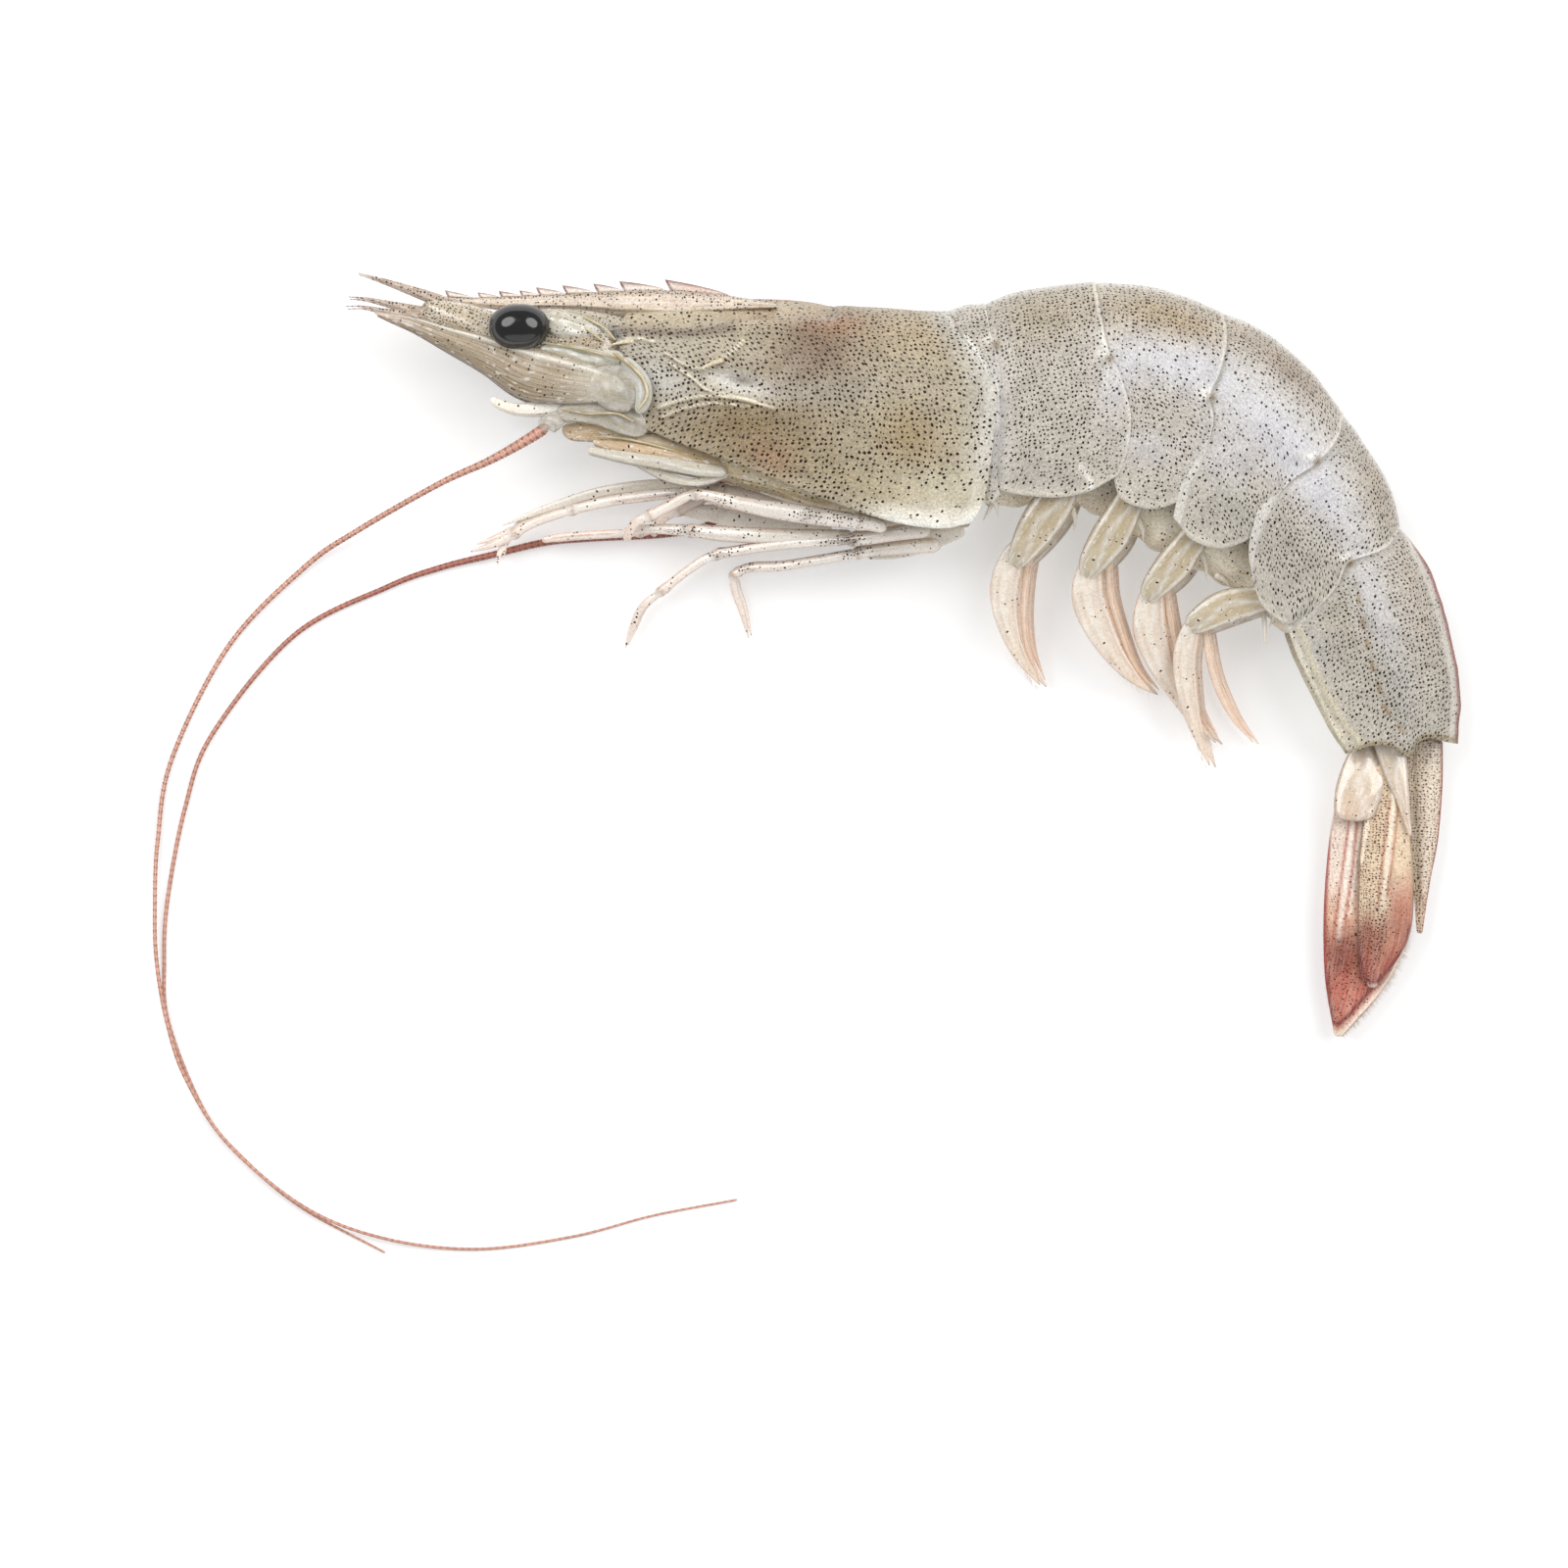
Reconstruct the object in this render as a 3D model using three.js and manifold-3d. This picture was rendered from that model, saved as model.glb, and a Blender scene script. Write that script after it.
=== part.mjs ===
// One raw whole shrimp lying on its right side, with its shell, limbs and both long antennae.
// Millimetres. X runs from head to tail, Y from belly to back, and Z up from the surface it lies on.
import * as THREE from 'three';
import { mergeVertices } from 'three/addons/utils/BufferGeometryUtils.js';
import Module from 'manifold-3d';

const wasm = await Module();
wasm.setup();

// Driving dimensions
const GAP = 0.3;             // clearance between neighbouring pieces
const SEAM_GAP = 0.4;        // clearance between one shell ring and the next
const MID = 7.6;             // height of the head's plane of symmetry
const WALL = 1.0;            // thickness of the side flaps of the shell
const LIP = 0.03;            // how much wider each shell ring is at its rear edge
const LIP_START = 0.8;       // share of the ring's length where it starts to widen
const FLANK_DRAW = 0.2;      // share by which the flank draws in from its widest line to the lower rim
const NEEDLE = 0.08;         // half width of the sharpest tip
const LIFT = 0.02;           // how far a limb stays above the surface
const EYE = { centre: [-60.1, 7.4], offset: 4.3, radii: [3.4, 2.7, 2.8] };
const RIDGE_STEPS = 4;       // rows from the back line to the widest line
const FLANK_STEPS = 5;       // rows from the widest line to the lower rim

// Seams between the shell rings, from the back line down the left flank
const SEAMS = [
  [[-12.1, 9], [-10.7, 6.4], [-8.4, 3.2], [-7, -0.3], [-7.2, -4.4], [-7.7, -8.8], [-8.4, -12.5], [-9.8, -15]],
  [[-7.9, 9.9], [-7.3, 6.1], [-6.3, 2.4], [-6.1, -2.2], [-6.5, -6.8], [-6.5, -10.8], [-5.6, -13.4]],
  [[4.1, 12.3], [4.7, 8.3], [5.4, 4.6], [6.9, 0.9], [7.9, -3.3], [7.5, -7.2], [6.5, -9.9]],
  [[18.4, 9.1], [18.7, 5.8], [17.9, 2], [16.9, -0.7], [17.3, -3.6], [16.4, -7.2], [14.9, -10.8],
    [13.9, -15.1]],
  [[32.1, -1.9], [31.1, -5.1], [28.9, -7.9], [26.1, -10.1], [24.1, -12.8], [22.9, -15.7], [22.2, -18.9],
    [22.4, -22]],
  [[38.9, -14.6], [36.9, -17.2], [32.8, -19], [31.5, -21.5], [29.6, -23.9], [27.7, -25.5], [26.1, -26.4]],
  [[45.1, -39.4], [42.6, -38.9], [41, -39.3], [39.8, -40.9], [38, -39.7], [35.8, -39.7], [33.3, -40.6]],
];
const SEAM_HALF_WIDTH = [7.8, 7.6, 7.5, 7.2, 6.6, 5.6, 3.8];
const SEAM_AXIS_HEIGHT = [7.5, 7.35, 7.25, 6.95, 6.35, 5.35, 3.6];

// Each ring lies between two seams. Its back and belly lines add only the points between them, and
// its reach says how far down the front and rear seams the ring goes.
const RINGS = [
  { back: [[-9.9, 9.7]], belly: [[-6.9, -14.1]], reach: [0.88, 1], floor: 0.8 },
  { back: [[-4.9, 11], [-1.6, 11.7], [1.2, 12.1]], belly: [[-3.3, -11.8], [0.6, -12], [3.9, -11.3]],
    reach: [0.9, 1], floor: 0.78 },
  { back: [[7.7, 12.2], [11.6, 11.7], [15.1, 10.7]], belly: [[7.5, -12.2], [10.5, -13.3], [13.2, -12.7]],
    reach: [1, 0.85], floor: 0.78 },
  { back: [[21.7, 7.9], [25, 5.9], [28.6, 2.9], [30.6, 0.4]],
    belly: [[15.5, -16.8], [18.5, -17.7], [21.2, -16.9]],
    reach: [1, 0.72], floor: 0.78 },
  { back: [[34.1, -4.4], [36.1, -7.4], [37.7, -10.2], [38.6, -12.4]],
    belly: [[23.2, -23.9], [24.8, -25.4], [26.3, -26.1]], reach: [1, 0.9], floor: 0.78 },
  { back: [[40.9, -17.9], [42.7, -21.9], [44.1, -26.4], [45.2, -31.4], [45.5, -35.2]],
    belly: [[27.5, -29.9], [29.6, -34.2], [31.5, -37.8]], reach: [1, 1], floor: 0.93 },
];
const CARAPACE = {
  name: 'carapace',
  front: [[-47.6, 9.2], [-49.2, 6.8], [-48.5, 4.6], [-46.5, 2.2], [-45.4, -0.2], [-45.9, -2.4], [-46, -4.2]],
  rear: SEAMS[0],
  back: [[-41.3, 9.8], [-34.6, 10.1], [-28, 10], [-21.5, 9.6], [-16, 9.2]],
  belly: [[-41.3, -6.2], [-34.7, -8.6], [-28, -11.3], [-22.5, -13.4], [-17, -15], [-12.7, -15.5]],
  reach: [1, 1],
  floor: 0.74,
  halfWidths: [4.2, 6.2, 7.6, 8.2, 8.1, 7.8],
  axis: [MID, MID, MID, MID, 7.55, 7.5],
  steps: 11,
};

// Rostrum: a toothed blade above a thin core
const TOOTH_COUNT = 8;
const TOOTH_HEIGHT = 0.5;
const TOOTH_LENGTH = 2.0;
const TOOTH_FACE = 0.2;      // lean of a tooth's steep front edge
const BLADE_DEPTH = 1.2;     // height of the blade below its top line
const toothTip = (i) => -64.3 + 2.1 * i + 0.13 * i * i;
const ROSTRUM_TOP = [[-68.3, 10.7], [-64.3, 10.5], [-57.6, 10.9], [-48.2, 11.5], [-42.4, 11.6], [-36.9, 10.8],
  [-31, 9.9]];
const ROSTRUM_CORE = [[-67.6, 10.6, 0.1], [-63.2, 10, 0.7], [-56.6, 10, 1.1], [-47.9, 10, 1.7],
  [-40, 10, 1.3], [-32, 9.4, 0.5]];
const BLADE_THICKNESS = 0.7;
const SPINES = [
  { path: [[-47.2, 5.2, 0.5], [-49.3, 5.2, 0.12]], out: [3.6, 4.2] },
  { path: [[-37.4, 2.8, 0.5], [-39.4, 2.5, 0.12]], out: [6.6, 7.2] },
];

// Limbs. A row is x, y and half width, with the height above the surface only where it isn't even.
const HEAD = [[-44.5, 2.6, 4.6], [-48.4, 3, 4.4], [-51, 3.4, 3.4]];
const THORAX = [[-44.6, -4.6, 2.4], [-36.9, -6.8, 3.3], [-30.3, -9.4, 3.6], [-23.7, -10.9, 3.4],
  [-17.1, -12.2, 2.9], [-12.4, -12.3, 2.5], [-10.2, -12, 1.8]];
// Distances out from the plane of symmetry at a limb's root and tip
const OUT = {
  antennule: [2, 1.4],
  flagella: [[1.4, 1.5], [1.4, 2.1]],
  antennaBaseLeft: [2.9, 2.9],
  antennaBaseRight: [3.2, 4],
  scale: [4.9, 3],
  mouth: [2.2, 2.6],
};
const FLAGELLUM_DROP = 0.9;  // how much lower the right flagella lie in the side view
const EYESTALK = [[-49.6, 5.3, 2.1, 1.4], [-53.4, 5.8, 2.2, 2.9], [-58.6, 7, 2.1, 4]];
const ANTENNULE = [[-49.5, 3.2, 1.7], [-56.6, 4.8, 1.9], [-62.7, 7, 1.6], [-67.1, 8.8, 1.3], [-71, 10, 0.8]];
const FLAGELLA = [
  [[-69.5, 10, 0.44], [-74.2, 11.9, 0.28], [-78.1, 13.2, 0.11]],
  [[-69.5, 9.3, 0.44], [-74.2, 8.7, 0.28], [-79.2, 9.3, 0.11]],
];
const SCALE = [[-50.4, 0.7, 1.1], [-55, 0.9, 2], [-58.9, 1.5, 2.4], [-63.2, 3.4, 1.9], [-68.8, 5.6, 1.2],
  [-74.2, 7.8, 0.44], [-75.9, 8.6, 0.12]];
const ANTENNA_BASE_LEFT = [[-47, -0.4, 2.8], [-49.8, -0.4, 2.6], [-53.1, -1.9, 1.65], [-56.3, -3.5, 1.1]];
const ANTENNA_BASE_RIGHT = [[-48.4, 0.2, 2.4], [-48.6, -2.4, 2.1], [-48.3, -5, 1.3], [-46.4, -6.6, 0.8]];
const MAXILLIPED = [[-36.4, -9.4, 0.66], [-41.2, -8.5, 0.88], [-47.9, -7.4, 0.77], [-52.1, -6.9, 0.44]];
const MAXILLIPED_BLADE = [[-38, -8, 0.8], [-42.4, -7.1, 1.3], [-47.9, -5.6, 1.4], [-52, -4.8, 0.6]];
const LEGS = [
  { path: [[-30.2, -13.4, 0.9], [-36.9, -11.6, 0.88], [-41.2, -11, 0.66], [-45.6, -11.3, 0.7],
    [-52.2, -12.7, 0.7], [-58.9, -14.8, 0.6], [-61.6, -16.3, 0.5], [-65.5, -17.8, 0.15]],
    left: [8.8, 3], right: [4.6, 1.7], shift: [0.6, 0.9] },
  { path: [[-18.7, -15.9, 0.8], [-20.9, -15.3, 0.95], [-26.9, -14.3, 1.1], [-34.6, -12.7, 0.88],
    [-39.9, -11.6, 0.66], [-43.5, -12.4, 0.66], [-46.2, -13.8, 0.62], [-47.3, -15.4, 0.55],
    [-47.9, -16.9, 0.4]],
    left: [12, 5.6], right: [6, 3.6], shift: [3, 0.6] },
  { path: [[-23.6, -16.2, 0.9], [-30.2, -16.1, 0.88], [-36.9, -15.9, 0.9], [-41.2, -15.4, 0.66],
    [-45.6, -15.9, 0.55], [-47.9, -16.2, 0.55], [-54.5, -16.1, 0.55], [-57.6, -16.7, 0.4]],
    left: [8, 3.3], right: [3.6, 1.9], shift: [1.2, 0.1] },
  { path: [[-13.8, -16.6, 0.95], [-20.4, -16.9, 0.8], [-24.8, -17.1, 0.66], [-32.5, -17.8, 0.55],
    [-38.5, -18.5, 0.55], [-41.2, -20.1, 0.55], [-46.2, -23.6, 0.44], [-48, -29.5, 0.12]],
    left: [10.6, 2], right: [4.4, 0.6], shift: [0.3, 0.3] },
  { path: [[-12.1, -17.2, 0.95], [-19.2, -18.6, 0.7], [-23.6, -19, 0.6], [-30.2, -19.6, 0.55],
    [-35.1, -20.2, 0.55], [-36, -21.2, 0.55], [-35.5, -23.1, 0.5], [-34.9, -25.5, 0.4], [-34.1, -28.1, 0.12]],
    left: [8.4, 1.8], right: [1.8, 0.5], shift: [0.3, 0.3] },
];
const PINCER_FINGER = [[-58.6, -14.6, 0.4], [-61, -16.4, 0.4], [-62.5, -19, 0.12]];
const SWIMMERETS = [
  { ring: 2, left: [10.2, 4.6], right: [4.4, 1.2],
    base: [[0.3, -8.2, 2], [-0.6, -12.7, 2.4], [-3.5, -18.3, 1.9]],
    outer: [[-4.1, -17.2, 1], [-5.4, -22, 1.3], [-5.1, -25.9, 1], [-4.1, -29.5, 0.75], [-1.4, -32.8, 0.12]],
    inner: [[-2.9, -17.2, 0.6], [-3.3, -24.2, 0.45], [-3.1, -28.6, 0.4], [-1.6, -32.4, 0.12]] },
  { ring: 3, left: [9.8, 4.4], right: [4.2, 1.1],
    base: [[8.6, -9.4, 1.5], [7.6, -13.2, 1.8], [6.2, -15.9, 2.2], [4.3, -20, 1.8]],
    outer: [[4.2, -19, 1.5], [4.1, -22.9, 1.9], [5.2, -26.4, 1.7], [7.4, -29.7, 1.1], [11.2, -33.5, 0.12]],
    inner: [[5.4, -19, 0.6], [6.6, -23.1, 0.5], [8.2, -28.6, 0.45], [11.4, -33, 0.12]] },
  { ring: 4, left: [9.4, 2.8], right: [4, 0.7],
    base: [[16.9, -12.8, 1.3], [15, -16.5, 1.5], [13, -19.5, 2], [11, -22.9, 1.5]],
    outer: [[11.2, -22.2, 1.5], [10.9, -26.4, 2.1], [11.8, -29.9, 1.5], [14.4, -34.2, 0.8],
      [18.5, -39.3, 0.12]],
    inner: [[12.2, -22.3, 0.7], [13.8, -28.6, 0.55], [15.4, -33, 0.45], [18.1, -38.7, 0.12]] },
  { ring: 5, left: [8.4, 4.8], right: [3.9, 1.9],
    base: [[25.6, -21.8, 1.3], [22.6, -23.2, 1.5], [18.7, -24.4, 1.9], [15.7, -26.1, 1.4]],
    outer: [[15.8, -25.5, 1.2], [15, -30.8, 1.3], [15.1, -34.1, 1.2], [15.9, -37.6, 0.9], [17.8, -42, 0.12]],
    inner: [[16.6, -26.4, 0.7], [17.7, -31.9, 0.55], [19.8, -36.3, 0.45], [22.6, -39.4, 0.12]] },
];
const SWIMMERET_JOINT = 0.35;          // share of a swimmeret's drop that its base takes
const SWIMMERET_SHIFT = [0.8, -0.2];    // how far the right-hand ones lie off the left-hand ones
const TELSON = [[42.1, -40, 1.9], [41.9, -47.3, 1.65], [41.7, -53.9, 1.1], [41.5, -60.7, 0.12]];
const TAIL_AXIS = 2.9;                  // height of the tail fan's plane of symmetry at its root
const TAIL_TIP_AXIS = 2.2;              // and at its tip
const TAIL_SHIFT = [0.5, 0.4];          // how far the right-hand blades lie off the left-hand ones
const TAIL_BASE = [[35, -41.4, 1.4], [34.4, -43.5, 1.9], [34.4, -46, 1.4]];
const TAIL_OUTER = [[34.3, -47, 1.3], [34.8, -52.8, 3.7], [35.4, -58.3, 4.7], [35.4, -62.1, 4.7],
  [34.9, -66, 3.7], [33.5, -69.3, 2], [32, -72.4, 0.15]];
const TAIL_INNER = [[37.7, -41.6, 1.1], [37.2, -49, 2.8], [37.5, -55, 2.9], [37.6, -61, 2.6],
  [37.1, -64.9, 1.5], [36.2, -66.7, 0.2]];
const ANTENNA_LEFT = [
  [-56.8, -3.9, 0.49, 10.4], [-58.9, -5.6, 0.49, 9.6], [-63.2, -7.7, 0.42, 8], [-68.9, -10.2, 0.36, 5.6],
  [-78.2, -15.3, 0.33, 2], [-84.4, -19.5, 0.31, 0.6], [-93, -28.4, 0.27, 0.3], [-99.4, -41.1, 0.25, 0.3],
  [-101, -50.4, 0.24, 0.6], [-101.3, -57.8, 0.23, 1], [-101.1, -64.1, 0.23, 1], [-99.9, -71, 0.22, 1],
  [-97.8, -77.3, 0.21, 1], [-93, -84.7, 0.2, 1], [-84.6, -91.7, 0.19, 0.95], [-75.7, -95.3, 0.18, 0.6],
  [-65.2, -96.6, 0.17, 0.2], [-54.2, -95.2, 0.15, 0.2], [-45, -92.8, 0.13, 0.2], [-35.5, -91, 0.12, 0.2],
];
const ANTENNA_RIGHT = [
  [-45.6, -7.2, 0.49, 3], [-39.6, -8.8, 0.49, 2.2], [-36.5, -11.4, 0.47, 1.2], [-38.5, -14.6, 0.46, 0.7],
  [-43.5, -15.7, 0.45, 0.6], [-52.2, -16.2, 0.44, 0.6], [-57.3, -16.7, 0.42, 0.6], [-63.2, -18.1, 0.39, 0.5],
  [-68.9, -19.5, 0.36, 0.4], [-75, -21.7, 0.32, 0.35], [-85.6, -27.2, 0.29, 0.3], [-94.8, -38.3, 0.26, 0.3],
  [-97.9, -46.6, 0.24, 0.3], [-99.9, -57, 0.23, 0.25], [-100.3, -64.1, 0.22, 0.25], [-99.8, -71, 0.21, 0.25],
  [-95.7, -81.1, 0.2, 0.25], [-91, -86.7, 0.19, 0.25], [-84.6, -92, 0.17, 0.2], [-75.3, -97, 0.12, 0.2],
];

// Finishes of the dry model, one per sub-part
const FINISH = {
  carapace: { color: '#b0a893', roughness: 0.35 },
  ring: { color: '#b9b7b1', roughness: 0.35 },
  tail: { color: '#b78f80', roughness: 0.35 },
  head: { color: '#a9a596', roughness: 0.3 },
  eye: { color: '#141414', roughness: 0.1 },
  limb: { color: '#d9cbb5', roughness: 0.4 },
  antenna: { color: '#a4644f', roughness: 0.5 },
};

const shrimp = new THREE.Group();

// Curves and numbers

/** A smooth curve through its points, read by share of length with getPointAt. */
function curveThrough(points) {
  const vectors = points.map(([x, y, z = 0]) => new THREE.Vector3(x, y, z));
  return new THREE.CatmullRomCurve3(vectors, false, 'catmullrom', 0.5);
}

/** A value between the evenly spaced numbers of a list, at share s of the way through it. */
function between(list, s) {
  const place = s * (list.length - 1);
  const index = Math.min(Math.floor(place), list.length - 2);
  return THREE.MathUtils.lerp(list[index], list[index + 1], place - index);
}

// Closed bodies

/** A mesh from corner positions and triangles, turned inside out if its volume comes out negative. */
function bodyFrom(corners, triangles) {
  let volume = 0;
  for (const [a, b, c] of triangles) {
    volume += corners[a].dot(corners[b].clone().cross(corners[c]));
  }
  const faces = volume < 0 ? triangles.map(([a, b, c]) => [a, c, b]) : triangles;
  const geometry = new THREE.BufferGeometry();
  geometry.setAttribute('position', new THREE.Float32BufferAttribute(corners.flatMap((p) => p.toArray()), 3));
  geometry.setIndex(faces.flat());
  return geometry;
}

function toSolid(geometry) {
  const plain = geometry.clone();
  plain.deleteAttribute('normal');
  plain.deleteAttribute('uv');
  const merged = mergeVertices(plain);
  const vertProperties = new Float32Array(merged.attributes.position.array);
  const triVerts = new Uint32Array(merged.index.array);
  return new wasm.Manifold(new wasm.Mesh({ numProp: 3, vertProperties, triVerts }));
}

function toGeometry(solid) {
  const { vertProperties, triVerts } = solid.getMesh();
  const geometry = new THREE.BufferGeometry();
  geometry.setAttribute('position', new THREE.BufferAttribute(vertProperties, 3));
  geometry.setIndex(new THREE.BufferAttribute(triVerts, 1));
  return geometry;
}

/** Several overlapping bodies joined into one. */
function fused(geometries) {
  return toGeometry(geometries.map(toSolid).reduce((whole, next) => whole.add(next)));
}

/** A body with its neighbours' grown shapes cut away. Only the largest piece is kept. */
function carved(geometry, neighbours) {
  const cut = neighbours.map(toSolid).reduce((rest, tool) => rest.subtract(tool), toSolid(geometry));
  const pieces = cut.decompose().sort((a, b) => b.volume() - a.volume());
  return toGeometry(pieces[0]);
}

function addPiece(name, geometry, finish) {
  geometry.computeVertexNormals();
  const mesh = new THREE.Mesh(geometry, new THREE.MeshStandardMaterial({ metalness: 0, ...FINISH[finish] }));
  mesh.name = name;
  shrimp.add(mesh);
}

// Limbs: an oval section carried along a curve

/** Rows of x, y, half width and perhaps height become rows that all have a height. */
function withHeights(path, [startHeight, endHeight], [dx, dy] = [0, 0]) {
  return path.map(([x, y, halfWidth, height], i) => {
    const even = THREE.MathUtils.lerp(startHeight, endHeight, i / (path.length - 1));
    return [x + dx, y + dy, halfWidth, height ?? even];
  });
}

/** A closed limb. flat is its depth over its width, and depth, where given, is a fixed half depth. */
function limb(rows, { steps = 10, sides = 8, flat = 0.8, depth = null, grow = 0 } = {}) {
  const path = curveThrough(rows.map(([x, y, , z]) => [x, y, z]));
  const sizes = curveThrough(rows.map((row) => [row[2], 0, 0]));
  const corners = [];
  for (let i = 0; i <= steps; i += 1) {
    const t = path.getUtoTmapping(i / steps);
    const along = path.getTangent(t);
    const across = new THREE.Vector3(0, 0, 1).cross(along).normalize();
    const upward = along.clone().cross(across);
    const halfWidth = Math.max(sizes.getPoint(t).x, NEEDLE);
    const halfDepth = (depth === null ? halfWidth * flat : Math.min(depth, halfWidth)) + grow;
    const centre = path.getPoint(t);
    if (i === 0) centre.addScaledVector(along, -grow);
    if (i === steps) centre.addScaledVector(along, grow);
    for (let j = 0; j < sides; j += 1) {
      const angle = (2 * Math.PI * j) / sides;
      const corner = centre.clone();
      corner.addScaledVector(across, Math.cos(angle) * (halfWidth + grow));
      corner.addScaledVector(upward, Math.sin(angle) * halfDepth);
      corner.z = Math.max(corner.z, LIFT);
      corners.push(corner);
    }
  }
  const triangles = [];
  for (let i = 0; i < steps; i += 1) {
    for (let j = 0; j < sides; j += 1) {
      const here = i * sides + j;
      const beside = i * sides + ((j + 1) % sides);
      triangles.push([here, beside, here + sides], [here + sides, beside, beside + sides]);
    }
  }
  const last = steps * sides;
  for (let j = 1; j < sides - 1; j += 1) {
    triangles.push([0, j + 1, j], [last, last + j, last + j + 1]);
  }
  return bodyFrom(corners, triangles);
}

// Shell rings: a patch between four side-view lines, arched to both sides

/** How far the flank stands out: 0 on the back line, 1 on the widest line, a little less at the rim. */
function arch(t) {
  if (t < 0.5) return Math.sqrt(1 - (1 - 2 * t) ** 2);
  return 1 - FLANK_DRAW * (2 * t - 1) ** 2;
}

/** The side-view point at share u from front to rear and t from back to belly, blended from four lines. */
function patchOf(shell) {
  const front = curveThrough(shell.front);
  const rear = curveThrough(shell.rear);
  const frontAt = (t) => front.getPointAt(t * shell.reach[0]);
  const rearAt = (t) => rear.getPointAt(t * shell.reach[1]);
  const lineOver = (start, middle, end) => curveThrough([start.toArray(), ...middle, end.toArray()]);
  const back = lineOver(frontAt(0), shell.back, rearAt(0));
  const belly = lineOver(frontAt(1), shell.belly, rearAt(1));
  const corners = [frontAt(0), rearAt(0), frontAt(1), rearAt(1)];
  return (u, t) => {
    const inset = SEAM_GAP / 2 / frontAt(t).distanceTo(rearAt(t));
    const s = inset + u * (1 - 2 * inset);
    const point = new THREE.Vector3();
    point.addScaledVector(frontAt(t), 1 - s).addScaledVector(rearAt(t), s);
    point.addScaledVector(back.getPointAt(s), 1 - t).addScaledVector(belly.getPointAt(s), t);
    point.addScaledVector(corners[0], -(1 - s) * (1 - t)).addScaledVector(corners[1], -s * (1 - t));
    point.addScaledVector(corners[2], -(1 - s) * t).addScaledVector(corners[3], -s * t);
    return point;
  };
}

/** The rows from the back line to the rim, closer together where the arch is steep, and the floor's row. */
function rowsOf(shell) {
  const rows = [];
  for (let i = 0; i <= RIDGE_STEPS; i += 1) {
    rows.push(0.5 * (1 - Math.cos((0.5 * Math.PI * i) / RIDGE_STEPS)));
  }
  for (let i = 1; i < FLANK_STEPS; i += 1) {
    rows.push(0.5 + (0.5 * i) / FLANK_STEPS);
  }
  rows.push(1);
  let floorRow = rows.length - 2;
  while (rows[floorRow] > shell.floor) floorRow -= 1;
  rows[floorRow] = shell.floor;
  return { rows, floorRow };
}

/** One cross-section of a shell ring: the numbers of its corners on each side, outside and inside. */
function shellStation(shell, { patch, rows, floorRow, put }, u, grow) {
  const axis = between(shell.axis, u);
  const lip = 1 + LIP * THREE.MathUtils.smoothstep(u, LIP_START, 1);
  const halfWidth = between(shell.halfWidths, u) * lip;
  const down = patch(u, 1).sub(patch(u, 0.5)).normalize();
  const station = { left: [], right: [], innerLeft: [], innerRight: [] };
  rows.forEach((t, row) => {
    const point = patch(u, t);
    const inward = u < 0.5 ? patch(0.1, t) : patch(0.9, t);
    if (u === 0 || u === 1) point.addScaledVector(point.clone().sub(inward).normalize(), grow);
    if (row === 0) point.addScaledVector(down, -grow);
    if (t === 1) point.addScaledVector(down, grow);
    const outer = halfWidth * arch(t) + (row > 0 ? grow : 0);
    station.left.push(put(point, axis + outer));
    station.right.push(row === 0 ? station.left[0] : put(point, axis - outer));
    if (row < floorRow) return;
    const inner = halfWidth * arch(t) - WALL - grow;
    if (row === floorRow) point.addScaledVector(down, grow);
    station.innerLeft[row] = put(point, axis + inner);
    station.innerRight[row] = put(point, axis - inner);
  });
  return station;
}

/** The flat end of a shell ring: whole above the belly floor, and two strips where the flaps hang. */
function shellEnd({ left, right, innerLeft, innerRight }, floorRow, flip) {
  const triangles = [];
  const face = (...ids) => {
    const order = flip ? ids.reverse() : ids;
    for (let j = 1; j < order.length - 1; j += 1) triangles.push([order[0], order[j], order[j + 1]]);
  };
  face(left[0], right[1], left[1]);
  for (let row = 1; row < floorRow - 1; row += 1) {
    face(left[row], right[row], right[row + 1], left[row + 1]);
  }
  const above = floorRow - 1;
  const floorLine = [right[floorRow], innerRight[floorRow], innerLeft[floorRow], left[floorRow]];
  face(left[above], right[above], floorLine[0]);
  face(left[above], floorLine[0], floorLine[1]);
  face(left[above], floorLine[1], floorLine[2]);
  face(left[above], floorLine[2], floorLine[3]);
  for (let row = floorRow; row < left.length - 1; row += 1) {
    face(left[row], innerLeft[row], innerLeft[row + 1], left[row + 1]);
    face(innerRight[row], right[row], right[row + 1], innerRight[row + 1]);
  }
  return triangles;
}

/** A closed shell ring: solid down to its belly floor, with a thin flap on each side below that. */
function shellBody(shell, grow = 0) {
  const { rows, floorRow } = rowsOf(shell);
  const corners = [];
  const put = (flat, height) => corners.push(new THREE.Vector3(flat.x, flat.y, Math.max(height, 0))) - 1;
  const tools = { patch: patchOf(shell), rows, floorRow, put };
  const stations = [];
  for (let i = 0; i <= shell.steps; i += 1) {
    stations.push(shellStation(shell, tools, i / shell.steps, grow));
  }
  const loops = stations.map(({ left, right, innerLeft, innerRight }) => [
    ...left,
    ...innerLeft.slice(floorRow).reverse(),
    ...innerRight.slice(floorRow),
    ...right.slice(1).reverse(),
  ]);
  const triangles = [
    ...shellEnd(stations[0], floorRow, false),
    ...shellEnd(stations[shell.steps], floorRow, true),
  ];
  for (let i = 0; i < shell.steps; i += 1) {
    loops[i].forEach((here, j) => {
      const next = (j + 1) % loops[i].length;
      const [beside, across, ahead] = [loops[i][next], loops[i + 1][next], loops[i + 1][j]];
      triangles.push([here, beside, across], [here, across, ahead]);
    });
  }
  return bodyFrom(corners, triangles);
}

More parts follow.
